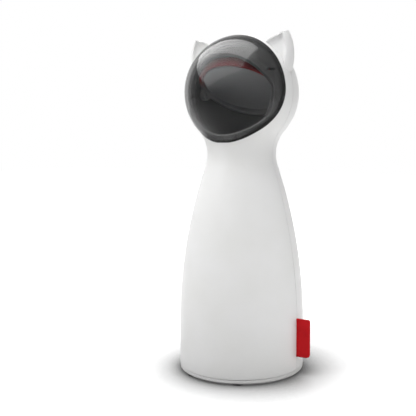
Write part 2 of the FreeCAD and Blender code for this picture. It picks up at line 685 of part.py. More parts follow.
def add_front_ears(body):
    """The front half of each ear: its outer edge is rolled over towards a hollow face."""
    rolled = [(D.ear_front * -part, D.ear_front_sunk * share, D.ear_front_inward * share,
               D.ear_front_narrow * share)
              for part, share in ((0.0, 0.0), (0.5, 0.14), (0.84, 0.5), (1.0, 1.0))]
    loft_ears(body, "PartDesign::AdditiveLoft", "Ear", rolled)
    hollow = []
    for depth, inset in ((-0.5, 0.3), (0.0, 1.0), (0.6, 2.4), (1.0, 5.0)):
        rim = D.ear_rim * inset
        hollow.append((D.ear_hollow * depth - D.ear_front, D.ear_front_sunk + rim * 1.5,
                       D.ear_front_inward + rim * 0.7, D.ear_front_narrow + rim))
    loft_ears(body, "PartDesign::SubtractiveLoft", "EarHollow", hollow)


def add_rear_ears(body):
    """The rear half of each ear, which falls off to a steep, rounded back."""
    loft_ears(body, "PartDesign::AdditiveLoft", "Ear", [
        (0, 0, 0, 0),
        (D.ear_waist, D.ear_waist_sunk, D.ear_waist_inward, D.ear_waist_narrow),
        (D.ear_heel, D.ear_heel_sunk, D.ear_heel_inward, D.ear_heel_narrow),
        (D.ear_back, D.ear_back_sunk, D.ear_back_inward, D.ear_back_narrow)])


def hollow_head(body):
    """Take out what the ears leave inside the middle of the head's wall."""
    ball = body.newObject("PartDesign::SubtractiveSphere", "HeadHollow")
    tie(ball, "Radius", D.head_radius - MIDDLE)
    tie(ball, "Placement.Base.z", D.head_centre_z)


def mirror_across(body, feature):
    """The same feature again on the other side of the toy's middle."""
    across = body.newObject("PartDesign::Mirrored", "Mirrored")
    across.Originals = [feature]
    middle = [item for item in body.Origin.OriginFeatures if item.Role == "YZ_Plane"][0]
    across.MirrorPlane = (middle, [""])
    body.Tip = across


def add_tongue(body):
    """The tongue of the lap joint: it runs along the whole seam, and leaves room for the tag."""
    section = wall_section(body, "TongueSketch", MIDDLE + D.lap_play, D.wall, D.shell_foot_z)
    mirror_across(body, section.pad("Tongue", D.lap_length, reverse=True))
    room = Drawing(body, "TagRoomSketch", "XZ")
    room.box(D.base_radius - D.tag_root, D.base_radius, D.tag_bottom_z - D.wall,
             D.tag_top_z + D.wall)
    room.pocket("TagRoom", D.lap_length * 2)


def cut_rebate(body):
    """The rebate that takes up the tongue, and the open joint outside it."""
    inside = Drawing(body, "RebateSketch", "XZ")
    line, head = side_line(inside, MIDDLE, D.shell_foot_z)
    foot, crown = inside.sketch.getPoint(line, 1), inside.sketch.getPoint(head, 2)
    axis = inside.sketch.addGeometry(Part.LineSegment(crown, Vector(0, foot.y, 0)), False)
    inside.constrain("Coincident", head, 2, axis, 1)
    inside.constrain("PointOnObject", axis, 2, -2)
    link(inside, axis, 2, line, 1, "Horizontal")
    mirror_across(body, inside.pocket("Rebate", D.lap_length))
    joint = Drawing(body, "JointSketch", "XZ")
    joint.box(-REACH, REACH, 0, D.head_centre_z + REACH)
    joint.pocket("Joint", D.seam_gap)


def tag_slot(body):
    """Half of the slit in the seam that holds the fabric tag."""
    slit = Drawing(body, "TagSlitSketch", "XZ")
    slit.box(D.base_radius - D.tag_root, D.base_radius + D.wall,
             D.tag_bottom_z - D.fit_play, D.tag_top_z + D.fit_play)
    slit.pocket("TagSlit", D.tag_thickness + D.fit_play * 2, symmetric=True)


# ---------------------------------------------------------------- shells, window and bezel
def make_front_shell():
    body = new_body("front_shell")
    add_base_bosses(body, -1)
    add_ledges(body, True)
    trim = outside_section(body, "TrimSketch", MIDDLE, D.plate_z, REACH)
    trim.groove("Trim")
    add_front_ears(body)
    hollow_head(body)
    wall_section(body, "WallSketch", 0, D.wall, D.shell_foot_z).turn("Wall", angle=180, reverse=True)
    add_tongue(body)
    foot_y, radius, top_y = window_edge(as_size(0))
    window = Drawing(body, "WindowSketch", "YZ")
    high = D.head_centre_z + REACH
    window.outline([(foot_y, WINDOW_FOOT_Z, radius), (top_y, WINDOW_BEND_Z), (top_y, high),
                    (-REACH, high), (-REACH, WINDOW_FOOT_Z)])
    window.pocket("Window", REACH * 2, symmetric=True)
    drill_base_bosses(body, -1)
    tag_slot(body)


def make_rear_shell():
    body = new_body("rear_shell")
    add_base_bosses(body, 1)
    add_ledges(body, False)
    posts = Drawing(body, "PostSketch", "XZ", -BOARD_Y)
    for x in (D.board_hole_x, -D.board_hole_x):
        for z in (D.board_low_hole_z, D.board_high_hole_z):
            posts.circle(x, z, D.post_radius)
    posts.pad("Posts", PAST_WALL - BOARD_Y, reverse=True)
    guide = Drawing(body, "GuideSketch", "XZ", -GUIDE_INNER_Y)
    guide.circle(0, D.button_z, D.button_radius + D.button_play + D.guide_wall)
    guide.pad("Guide", PAST_WALL - GUIDE_INNER_Y, reverse=True)
    outside_section(body, "TrimSketch", MIDDLE, D.plate_z, REACH).groove("Trim")
    add_rear_ears(body)
    hollow_head(body)
    wall_section(body, "WallSketch", 0, D.wall, D.shell_foot_z).turn("Wall", angle=180)
    cut_rebate(body)
    button_hole = Drawing(body, "ButtonHoleSketch", "XZ")
    button_hole.circle(0, D.button_z, D.button_radius + D.button_play)
    button_hole.pocket("ButtonHole", REACH)
    cut_port(body)
    cut_slot(body)
    notch = Drawing(body, "DoorNotchSketch", "XZ")
    notch.box(-(D.door_strip_half + D.door_play), D.door_strip_half + D.door_play,
              D.plate_z, D.door_strip_z + D.door_play)
    notch.pocket("DoorNotch", REACH)
    screws = Drawing(body, "PostHoleSketch", "XZ", -BOARD_Y)
    for x in (D.board_hole_x, -D.board_hole_x):
        for z in (D.board_low_hole_z, D.board_high_hole_z):
            screws.circle(x, z, D.screw_radius + D.thread_play)
    screws.pocket("PostHoles", D.screw_head_height * 3)
    drill_base_bosses(body, 1)
    tag_slot(body)
    hollow_round_button(body)


def cut_port(body):
    """The obround opening of the charging port."""
    half, end = D.port_height / 2, D.port_width / 2 - D.port_height / 2
    port = Drawing(body, "PortSketch", "XZ")
    port.box(-end, end, D.port_z - half, D.port_z + half)
    port.pocket("Port", REACH)
    for side in (1, -1):
        rounding = Drawing(body, "PortEndSketch", "XZ")
        rounding.circle(end * side, D.port_z, half)
        rounding.pocket("PortEnd", REACH)


def cut_slot(body):
    """The curved slot in the back of the head, in which the knob's stem swings."""
    first = KNOB_ANGLE - D.slot_overrun
    last = KNOB_ANGLE + D.tilt_travel + D.slot_overrun
    long = D.head_radius * 1.5
    slot = Drawing(body, "SlotSketch", "YZ")
    slot.outline([(0, D.head_centre_z),
                  (long * sine(last), D.head_centre_z + long * cosine(last)),
                  (long * sine(first), D.head_centre_z + long * cosine(first))])
    slot.pocket("Slot", D.slot_width, symmetric=True)
    for angle in (first, last):
        end = body.newObject("PartDesign::SubtractiveCylinder", "SlotEnd")
        tie(end, "Radius", D.slot_width / 2)
        tie(end, "Height", long)
        tie(end, "Placement.Base.z", D.head_centre_z)
        end.Placement.Rotation = FreeCAD.Rotation(Vector(1, 0, 0), -angle.value)
        tie(end, "Placement.Rotation.Angle", -angle)


def hollow_round_button(body):
    """The dished hollow round the button: a wide chamfer that follows the curved wall."""
    doc.recompute()
    base = body.Tip
    names = []
    for index, edge in enumerate(base.Shape.Edges, start=1):
        first, last = edge.ParameterRange
        points = [edge.valueAt(first + (last - first) * part / 5) for part in range(6)]
        reach = [math.hypot(p.x, p.z - D.button_z.value) for p in points]
        hole = D.button_radius.value + D.button_play.value
        on_hole = all(abs(r - hole) < 0.01 for r in reach)
        if on_hole and edge.CenterOfMass.y > BUTTON_FACE_Y.value - D.wall.value / 2:
            names.append(f"Edge{index}")
    dish = body.newObject("PartDesign::Chamfer", "Dish")
    dish.Base = (base, names)
    dish.ChamferType = "Two distances"
    tie(dish, "Size", D.dish_width)
    tie(dish, "Size2", D.dish_depth)
    return dish


def make_window_dome():
    """The smoked window: it carries on the shape of the shell."""
    body = new_body("window_dome")
    wall_section(body, "WallSketch", 0, D.wall, D.shell_foot_z).turn("Wall", angle=180, reverse=True)
    foot_y, radius, top_y = window_edge(D.window_gap)
    high = D.head_centre_z + REACH
    behind = Drawing(body, "BehindSketch", "YZ")
    behind.outline([(foot_y, WINDOW_FOOT_Z, radius), (top_y, WINDOW_BEND_Z), (top_y, high),
                    (REACH, high), (REACH, 0), (foot_y, 0)])
    behind.pocket("Behind", REACH * 2, symmetric=True)
    below = Drawing(body, "BelowSketch", "XZ")
    below.box(-REACH, REACH, 0, WINDOW_FOOT_Z + D.window_gap)
    below.pocket("Below", REACH * 2, symmetric=True)


def bezel_front():
    """The bezel's front edge in side view, upwards: (y, z) corners, the first with its arc."""
    foot_y, radius, _ = window_edge(D.bezel_margin)
    bend_y = -(D.window_plane_y + D.window_bend_radius)
    reach = D.bezel_front_y + bend_y
    meet = WINDOW_BEND_Z - root(radius * radius - reach * reach)
    rise = D.head_radius
    lean = rise * sine(D.bezel_slant) / cosine(D.bezel_slant)
    return [(foot_y, WINDOW_FOOT_Z, radius), (-D.bezel_front_y, meet),
            (-D.bezel_front_y, WINDOW_BEND_Z),
            (-D.bezel_front_y - lean, WINDOW_BEND_Z + rise)]


def make_window_bezel():
    """The dark band behind the window's edge, with a bead along its front."""
    body = new_body("window_bezel")
    outer = D.wall + D.bezel_gap
    depth = outer + D.bezel_lip
    edge = bezel_front()
    bead = Drawing(body, "BeadSketch", "YZ")
    width = D.bezel_lip_width
    top = edge[3]
    bead.outline([edge[1][:2], edge[2], top, (top[0] + width * 2, top[1]),
                  (edge[2][0] + width, edge[2][1]), (edge[1][0] + width, edge[1][1])])
    bead.pad("Bead", PAST_WALL * 2, symmetric=True)
    outside_section(body, "TrimSketch", outer + D.bezel_gap / 2, D.plate_z, REACH).groove("Trim")
    core = body.newObject("PartDesign::SubtractiveSphere", "BeadBore")
    tie(core, "Radius", D.head_radius - depth)
    tie(core, "Placement.Base.z", D.head_centre_z)
    band = wall_section(body, "BandSketch", outer, outer + D.bezel_wall, D.shell_foot_z)
    band.turn("Band", angle=180, reverse=True)
    front = Drawing(body, "FrontSketch", "YZ")
    front.outline([edge[0], edge[1], edge[2], top, (-REACH, top[1]), (-REACH, 0),
                   (edge[0][0], 0)])
    front.pocket("Front", REACH * 2, symmetric=True)
    back = Drawing(body, "BackSketch", "YZ")
    back.box(-D.bezel_back_y, REACH, 0, D.head_centre_z + REACH)
    back.pocket("Back", REACH * 2, symmetric=True)
    below = Drawing(body, "BelowSketch", "XZ")
    below.box(-REACH, REACH, 0, BOWL_FLOOR_Z + D.bowl_floor)
    below.pocket("Below", REACH * 2, symmetric=True)
    cut_snaps(body)


def cut_snaps(body):
    """Slits for the window's snap tabs: two in the bezel's front edge and two near its top."""
    half_x, half_z = D.snap_width / 2, D.snap_height / 2
    sides = Drawing(body, "SideSnapSketch", "XZ", D.bezel_front_y - D.snap_depth)
    tops = Drawing(body, "TopSnapSketch", "XY", D.head_centre_z)
    for hand in (1, -1):
        middle = D.snap_x * hand
        height = D.head_centre_z + D.snap_rise
        sides.box(middle - half_x, middle + half_x, height - half_z, height + half_z)
        middle = D.snap_top_x * hand
        tops.box(middle - half_x, middle + half_x, -D.snap_top_y - half_z, -D.snap_top_y + half_z)
    sides.pocket("SideSnaps", REACH, reverse=True)
    tops.pocket("TopSnaps", REACH, reverse=True)


def make_inner_bowl():
    """The dark inner bowl: a floor that sits on the neck's ledge, and a ball-shaped wall with a
    slot for the knob's stem and a bearing for each pivot pin."""
    body = new_body("inner_bowl")
    outer = BOWL_INSIDE + D.bowl_wall
    top = BOWL_FLOOR_Z + D.bowl_floor
    drop = D.head_centre_z - top
    outer_foot = root(outer * outer - drop * drop)
    inner_foot = root(BOWL_INSIDE * BOWL_INSIDE - drop * drop)
    half = Drawing(body, "BowlSketch", "XZ")
    half.outline([
        (D.bowl_hole, BOWL_FLOOR_Z), (inside_radius(BOWL_FLOOR_Z), BOWL_FLOOR_Z),
        (inside_radius(BOWL_FLOOR_Z), top), (outer_foot, top, outer),
        (outer, D.head_centre_z, outer), (0, D.head_centre_z + outer),
        (0, D.head_centre_z + BOWL_INSIDE, -BOWL_INSIDE),
        (BOWL_INSIDE, D.head_centre_z, -BOWL_INSIDE), (inner_foot, top), (D.bowl_hole, top)])
    half.turn("Bowl")
    front = Drawing(body, "FrontSketch", "YZ")
    front.box(-REACH, -D.bowl_front_y, top, D.head_centre_z + REACH)
    front.pocket("Front", REACH * 2, symmetric=True)
    play = D.stem_room + D.stem_depth
    reach = D.head_radius * 1.2
    for angle in (KNOB_ANGLE, KNOB_ANGLE + D.tilt_travel):
        end = body.newObject("PartDesign::SubtractiveCylinder", "StemRoom")
        tie(end, "Radius", play)
        tie(end, "Height", reach)
        tie(end, "Placement.Base.z", D.head_centre_z)
        end.Placement.Rotation = FreeCAD.Rotation(Vector(1, 0, 0), -angle.value)
        tie(end, "Placement.Rotation.Angle", -angle)
    last = KNOB_ANGLE + D.tilt_travel
    sector = Drawing(body, "StemSlotSketch", "YZ")
    sector.outline([(0, D.head_centre_z),
                    (reach * sine(last), D.head_centre_z + reach * cosine(last)),
                    (reach * sine(KNOB_ANGLE), D.head_centre_z + reach * cosine(KNOB_ANGLE))])
    sector.pocket("StemSlot", play * 2, symmetric=True)
    pins = Drawing(body, "PivotSketch", "YZ")
    pins.circle(0, D.head_centre_z, D.pivot_radius + D.fit_play)
    pins.pocket("PivotHoles", REACH * 2, symmetric=True)


# ---------------------------------------------------------------- base
def door_half():
    """Half width of the battery door's panel."""
    return D.cell_pitch + D.cell_radius + D.bay_side_play + D.door_play


def boss_places():
    x, y = boss_place()
    return [(x, y), (-x, y), (x, -y), (-x, -y)]


def foot_places():
    circle = D.base_radius - D.foot_inset
    front_x, front_y = circle * cosine(D.front_foot_angle), circle * sine(D.front_foot_angle)
    rear_x, rear_y = circle * cosine(D.rear_foot_angle), circle * sine(D.rear_foot_angle)
    return [(front_x, -front_y), (-front_x, -front_y), (rear_x, rear_y), (-rear_x, rear_y)]


def make_base_plate():
    body = new_body("base_plate")
    radius = D.base_radius - D.plate_inset
    edge = Drawing(body, "PlateSketch", "XZ")
    top = D.plate_z + D.plate_thickness
    edge.outline([(0, D.plate_z), (radius - D.plate_chamfer, D.plate_z),
                  (radius, D.plate_z + D.plate_chamfer), (radius, top), (0, top)])
    edge.turn("Plate")
    half = door_half() + D.door_play
    opening = Drawing(body, "OpeningSketch", "XY")
    opening.box(-half, half, -(BAY_FRONT_Y + D.door_play), REACH)
    opening.pocket("Opening", REACH, symmetric=True)
    strip = D.door_strip_half + D.door_play
    inner = D.base_radius - D.wall - D.door_play
    notch = Drawing(body, "StripNotchSketch", "XY")
    notch.outline([(strip, root(inner * inner - strip * strip), inner),
                   (-strip, root(inner * inner - strip * strip)), (-strip, REACH), (strip, REACH)])
    notch.pocket("StripNotch", REACH, symmetric=True)
    lip = half + D.door_lip
    low = D.plate_z + D.door_thickness - D.door_lip_thickness - D.door_lip_play
    grooves = Drawing(body, "GrooveSketch", "XZ", BAY_FRONT_Y + D.door_play)
    grooves.box(-lip, lip, low, D.plate_z + D.door_thickness + D.door_lip_play)
    grooves.pocket("LipGrooves", REACH * 2)
    feet = Drawing(body, "FootSketch", "XY", D.plate_z)
    for x, y in foot_places():
        feet.circle(x, y, D.foot_radius + D.fit_play)
    feet.pocket("FootRecesses", D.foot_recess, reverse=True)
    holes = Drawing(body, "ScrewSketch", "XY")
    heads = Drawing(body, "HeadSketch", "XY", D.plate_z)
    for x, y in boss_places():
        holes.circle(x, y, D.screw_radius + D.screw_play)
        heads.circle(x, y, D.screw_head_radius + D.screw_play)
    holes.pocket("ScrewHoles", REACH, symmetric=True)
    heads.pocket("HeadRecesses", D.screw_head_height + D.foot_recess, reverse=True)


def make_rubber_feet():
    body = new_body("rubber_feet")
    feet = Drawing(body, "FeetSketch", "XY")
    for x, y in foot_places():
        feet.circle(x, y, D.foot_radius)
    feet.pad("Feet", D.plate_z + D.foot_recess)


def make_battery_door():
    """A flat panel with two guide lips, and a strip at the back that closes the shell."""
    body = new_body("battery_door")
    half = door_half()
    outer, inner, strip = D.base_radius, D.base_radius - D.wall, D.door_strip_half
    back = root(outer * outer - half * half)
    panel = Drawing(body, "PanelSketch", "XY", D.plate_z)
    panel.outline([(half, -BAY_FRONT_Y), (half, back, outer), (-half, back),
                   (-half, -BAY_FRONT_Y)])
    panel.pad("Panel", D.door_thickness)
    lips = Drawing(body, "LipSketch", "XY", D.plate_z + D.door_thickness - D.door_lip_thickness)
    lip_end = root(inner * inner - (half + D.door_lip) * (half + D.door_lip)) - D.door_lip
    lips.box(-(half + D.door_lip), half + D.door_lip, -BAY_FRONT_Y, lip_end)
    lips.pad("Lips", D.door_lip_thickness)
    wall = Drawing(body, "StripSketch", "XY", D.plate_z)
    wall.outline([(strip, root(outer * outer - strip * strip), outer),
                  (-strip, root(outer * outer - strip * strip)),
                  (-strip, root(inner * inner - strip * strip), -inner),
                  (strip, root(inner * inner - strip * strip))])
    wall.pad("Strip", D.door_strip_z - D.plate_z)
    grip = Drawing(body, "GripSketch", "XY", D.plate_z)
    for row in range(5):
        near = BAY_BACK_Y - D.door_grip_width * (2 * row)
        grip.box(-D.door_grip_half, D.door_grip_half, near - D.door_grip_width, near)
    grip.pocket("Grip", D.door_grip_depth, reverse=True)


def make_battery_box():
    """The open-bottomed box over the three cells."""
    body = new_body("battery_box")
    half = D.cell_pitch + D.cell_radius + D.bay_side_play
    floor = D.plate_z + D.plate_thickness
    inside_top = CELL_Z + D.cell_radius + D.bay_head_room
    outer = Drawing(body, "BoxSketch", "XY", floor)
    outer.box(-(half + D.bay_wall), half + D.bay_wall,
              -(BAY_FRONT_Y + D.bay_wall), BAY_BACK_Y + D.bay_wall)
    outer.pad("Box", inside_top - floor + D.bay_wall)
    bay = Drawing(body, "BaySketch", "XY", floor)
    bay.box(-half, half, -BAY_FRONT_Y, BAY_BACK_Y)
    bay.pocket("Bay", CELL_Z - floor, reverse=True)
    saddles = Drawing(body, "SaddleSketch", "XZ", BAY_FRONT_Y)
    rest = D.cell_radius + D.bay_head_room
    shoulder = half - D.bay_side_play + D.bay_head_room
    middle = D.cell_pitch / 2
    cusp = CELL_Z + root(rest * rest - middle * middle)
    saddles.outline([
        (half, CELL_Z - D.bay_wall), (half, CELL_Z), (shoulder, CELL_Z, rest),
        (middle, cusp, rest), (-middle, cusp, rest), (-shoulder, CELL_Z), (-half, CELL_Z),
        (-half, CELL_Z - D.bay_wall)])
    saddles.pocket("Saddles", BAY_FRONT_Y + BAY_BACK_Y)
    relief = D.contact_sheet + D.fit_play
    high = CELL_Z + D.contact_rise + D.fit_play
    for name, face in (("FrontRelief", BAY_FRONT_Y), ("RearRelief", relief - BAY_BACK_Y)):
        room = Drawing(body, name + "Sketch", "XZ", face)
        room.box(-half, half, floor, high)
        room.pocket(name, relief)


def make_cells():
    """Three AA cells side by side, the middle one the other way round."""
    for number in (1, 2, 3):
        body = new_body(f"aa_cell_{number}")
        x = D.cell_pitch * (number - 2)
        way = -1 if number == 2 else 1
        length = D.cell_length + D.nub_length
        middle = (BAY_BACK_Y - BAY_FRONT_Y) / 2
        start = length / 2 * way - middle
        can = Drawing(body, "CanSketch", "XZ", start)
        can.circle(x, CELL_Z, D.cell_radius)
        can.pad("Can", D.cell_length, reverse=way > 0)
        nub = Drawing(body, "NubSketch", "XZ", start)
        nub.circle(x, CELL_Z, D.nub_radius)
        nub.pad("Nub", length, reverse=way > 0)


def make_contacts():
    """Sheet contacts on both end walls of the bay: one joins each pair of neighbouring cells and
    one stands alone at each end of the row."""
    body = new_body("battery_contacts")
    low, high = CELL_Z - D.contact_rise, CELL_Z + D.contact_rise
    pitch, half = D.cell_pitch, D.contact_half
    front = Drawing(body, "FrontSketch", "XZ", BAY_FRONT_Y)
    front.box(-pitch - half, -pitch + half, low, high).box(-half, pitch + half, low, high)
    front.pad("FrontContacts", D.contact_sheet, reverse=True)
    rear = Drawing(body, "RearSketch", "XZ", -BAY_BACK_Y)
    rear.box(-pitch - half, half, low, high).box(pitch - half, pitch + half, low, high)
    rear.pad("RearContacts", D.contact_sheet)


def make_side_tag():
    """The folded ribbon that is clamped in the seam."""
    body = new_body("side_tag")
    out = D.base_radius + D.tag_reach
    low, high = D.tag_lower_round, D.tag_upper_round
    outline = Drawing(body, "TagSketch", "XZ")
    outline.outline([
        (D.base_radius - D.tag_root + D.fit_play, D.tag_bottom_z),
        (out - low, D.tag_bottom_z, low), (out, D.tag_bottom_z + low),
        (out, D.tag_top_z - high, high), (out - high, D.tag_top_z),
        (D.base_radius - D.tag_root + D.fit_play, D.tag_top_z)])
    outline.pad("Tag", D.tag_thickness, symmetric=True)


# ---------------------------------------------------------------- electronics
def make_main_board():
    body = new_body("main_board")
    board = Drawing(body, "BoardSketch", "XZ", -BOARD_Y)
    board.box(-D.board_half_width, D.board_half_width, D.board_bottom_z, D.board_top_z)
    board.pad("Board", D.board_thickness)
    holes = Drawing(body, "HoleSketch", "XZ", -BOARD_Y)
    for x in (D.board_hole_x, -D.board_hole_x):
        for z in (D.board_low_hole_z, D.board_high_hole_z):
            holes.circle(x, z, D.screw_radius + D.screw_play)
    holes.pocket("Holes", D.board_thickness * 3, symmetric=True)


def make_board_parts():
    """On the front of the board: the controller chip and a capacitor, and two cable plugs."""
    front = BOARD_Y - D.board_thickness
    parts = new_body("board_parts")
    half = D.chip_side / 2
    chip = Drawing(parts, "ChipSketch", "XZ", -front)
    chip.box(-half, half, D.chip_z - half, D.chip_z + half)
    chip.pad("Chip", D.chip_height)
    can = Drawing(parts, "CanSketch", "XZ", -front)
    can.circle(D.can_x, D.can_z, D.can_radius)
    can.pad("Can", D.can_height)
    plugs = new_body("board_plugs")
    blocks = Drawing(plugs, "PlugSketch", "XZ", -front)
    for side in (1, -1):
        middle = D.plug_x * side
        blocks.box(middle - D.plug_width / 2, middle + D.plug_width / 2,
                   D.plug_z - D.plug_height / 2, D.plug_z + D.plug_height / 2)
    blocks.pad("Plugs", D.plug_depth)


def make_board_screws():
    body = new_body("board_screws")
    front = BOARD_Y - D.board_thickness
    shanks = Drawing(body, "ShankSketch", "XZ", -front)
    heads = Drawing(body, "HeadSketch", "XZ", -front)
    for x in (D.board_hole_x, -D.board_hole_x):
        for z in (D.board_low_hole_z, D.board_high_hole_z):
            shanks.circle(x, z, D.screw_radius)
            heads.circle(x, z, D.screw_head_radius)
    shanks.pad("Shanks", D.board_thickness + D.screw_head_height * 2, reverse=True)
    heads.pad("Heads", D.screw_head_height)


def make_base_screws():
    body = new_body("base_screws")
    seat = D.plate_z + D.screw_head_height + D.foot_recess
    heads = Drawing(body, "HeadSketch", "XY", seat)
    shanks = Drawing(body, "ShankSketch", "XY", seat)
    for x, y in boss_places():
        heads.circle(x, y, D.screw_head_radius)
        shanks.circle(x, y, D.screw_radius)
    heads.pad("Heads", D.screw_head_height, reverse=True)
    shanks.pad("Shanks", D.boss_top_z - seat - D.wall * 2)


def make_switch():
    body = new_body("tact_switch")
    half = D.switch_side / 2
    case = Drawing(body, "CaseSketch", "XZ", -BOARD_Y)
    case.box(-half, half, D.button_z - half, D.button_z + half)
    case.pad("Case", D.switch_height, reverse=True)
    well = Drawing(body, "WellSketch", "XZ", -(BOARD_Y + D.switch_height))
    well.circle(0, D.button_z, D.plunger_radius + D.fit_play * 4)
    well.pocket("Well", D.plunger_root + D.button_travel + D.contact_gap, reverse=True)


def make_plunger():
    body = new_body("switch_plunger")
    root_y = BOARD_Y + D.switch_height - D.plunger_root
    pin = Drawing(body, "PinSketch", "XZ", -root_y)
    pin.circle(0, D.button_z, D.plunger_radius)
    pin.pad("Pin", D.plunger_root + D.plunger_height, reverse=True)


def make_mode_button():
    """A domed cap with a flange that holds it in, and a stem that meets the switch."""
    body = new_body("mode_button")
    stem_end = BOARD_Y + D.switch_height + D.plunger_height + D.contact_gap
    back = GUIDE_INNER_Y - D.contact_gap
    front = BUTTON_FACE_Y - D.button_dome
    dome = (D.button_radius * D.button_radius + D.button_dome * D.button_dome) / (D.button_dome * 2)
    half = Drawing(body, "ButtonSketch", "YZ")
    half.outline([
        (stem_end, D.button_z), (stem_end, D.button_z + D.plunger_radius * 1.3),
        (back - D.button_flange_thickness, D.button_z + D.plunger_radius * 1.3),
        (back - D.button_flange_thickness, D.button_z + D.button_radius + D.button_flange),
        (back, D.button_z + D.button_radius + D.button_flange),
        (back, D.button_z + D.button_radius), (front, D.button_z + D.button_radius, -dome),
        (BUTTON_FACE_Y, D.button_z)])
    cap = body.newObject("PartDesign::Revolution", "Cap")
    cap.Profile = half.sketch
    axis = half.sketch.addGeometry(Part.LineSegment(
        Vector(0, D.button_z.value, 0), Vector(BOARD_Y.value, D.button_z.value, 0)), True)
    half.place(axis, 1, 0, D.button_z)
    half.place(axis, 2, BOARD_Y, D.button_z)
    cap.ReferenceAxis = (half.sketch, ["Axis0"])
    cap.Angle = 360


def make_usb():
    """The port board at right angles to the main board, and the socket on it."""
    board = new_body("usb_board")
    top = D.port_z - D.usb_height / 2
    plate = Drawing(board, "BoardSketch", "XY", top)
    plate.box(-D.usb_board_half, D.usb_board_half, BOARD_Y, (USB_MOUTH_Y - D.usb_overhang))
    plate.pad("Board", D.board_thickness, reverse=True)
    socket = new_body("usb_socket")
    half = D.usb_width / 2
    case = Drawing(socket, "CaseSketch", "XZ", -USB_MOUTH_Y)
    low, high = D.port_z - D.usb_height / 2, D.port_z + D.usb_height / 2
    slope = D.usb_height / 3
    case.outline([(-half + slope, low), (half - slope, low), (half, low + slope), (half, high),
                  (-half, high), (-half, low + slope)])
    case.pad("Case", D.usb_depth)
    mouth = Drawing(socket, "MouthSketch", "XZ", -USB_MOUTH_Y)
    sheet = D.usb_sheet
    mouth.outline([(-half + slope + sheet / 2, low + sheet), (half - slope - sheet / 2, low + sheet),
                   (half - sheet, low + slope + sheet / 2), (half - sheet, high - sheet),
                   (-half + sheet, high - sheet), (-half + sheet, low + slope + sheet / 2)])
    mouth.pocket("Mouth", D.usb_depth - sheet, reverse=True)
    tongue = new_body("usb_tongue")
    blade = Drawing(tongue, "BladeSketch", "XZ", -(USB_MOUTH_Y - D.usb_depth + sheet))
    blade.box(-half / 2, half / 2, high - sheet * 4, high - sheet * 2)
    blade.pad("Blade", D.usb_depth - sheet * 3, reverse=True)


# ---------------------------------------------------------------- laser
def make_laser():
    holder = new_body("laser_holder")
    bore = D.laser_radius + D.fit_play
    seat, top = HOLDER_Z, HOLDER_Z + D.holder_thickness
    half = Drawing(holder, "HolderSketch", "XZ")
    rim, tube_top = inside_radius(top), top + D.holder_tube_height
    half.outline([(bore, seat), (rim, seat), (rim, top), (D.holder_tube, top),
                  (D.holder_tube, tube_top), (bore, tube_top)])
    half.turn("Holder")
    holes = Drawing(holder, "WireHoleSketch", "XY", seat)
    for side in (1, -1):
        holes.circle(0, D.wire_hole_at * side, D.wire_hole_radius)
    holes.pocket("WireHoles", D.holder_thickness * 3, symmetric=True)
    barrel = new_body("laser_barrel")
    tube = Drawing(barrel, "BarrelSketch", "XZ")
    lens_z = LASER_TOP_Z - D.lens_depth
    tube.outline([(0, (LASER_TOP_Z - D.laser_length)), (D.laser_radius, (LASER_TOP_Z - D.laser_length)),
                  (D.laser_radius, LASER_TOP_Z), (D.lens_radius, LASER_TOP_Z),
                  (D.lens_radius, lens_z), (0, lens_z)])
    tube.turn("Barrel")
    lens = new_body("laser_lens")
    glass = Drawing(lens, "LensSketch", "XZ")
    edge = lens_z + D.lens_depth / 3
    bulge = D.lens_depth / 3
    rim = D.lens_radius - D.fit_play
    curve = (rim * rim + bulge * bulge) / (bulge * 2)
    glass.outline([(0, lens_z), (rim, lens_z), (rim, edge, curve), (0, edge + bulge)])
    glass.turn("Lens")


# ---------------------------------------------------------------- tilting mirror unit
def into_unit(body):
    """Set a body into the mirror unit: its +Z becomes the unit's axis from the head's centre."""
    body.Placement = FreeCAD.Placement(Vector(0, 0, 0),
                                       FreeCAD.Rotation(Vector(1, 0, 0), -D.stem_angle.value))
    tie(body, "Placement.Base.z", D.head_centre_z)
    tie(body, "Placement.Rotation.Angle", -D.stem_angle)


def unit_body(label):
    body = new_body(label)
    into_unit(body)
    return body


CENTRES = (D.wheel_teeth + D.pinion_teeth) * D.gear_module / 2
MOTOR_ANGLE = arccosine((CENTRES * CENTRES + D.motor_offset * D.motor_offset - CENTRES * CENTRES)
                        / (CENTRES * D.motor_offset * 2))
MOTOR_X = D.motor_offset * cosine(MOTOR_ANGLE)
MOTOR_Y = -(D.motor_offset * sine(MOTOR_ANGLE))
BACK = D.frame_back + D.frame_wall
LOWER_GEAR = BACK + D.gear_gap
UPPER_GEAR = LOWER_GEAR + D.gear_width + D.gear_gap
COVER_INSIDE = UPPER_GEAR + D.gear_width + D.gear_gap
COVER_TOP = COVER_INSIDE + D.cover_top


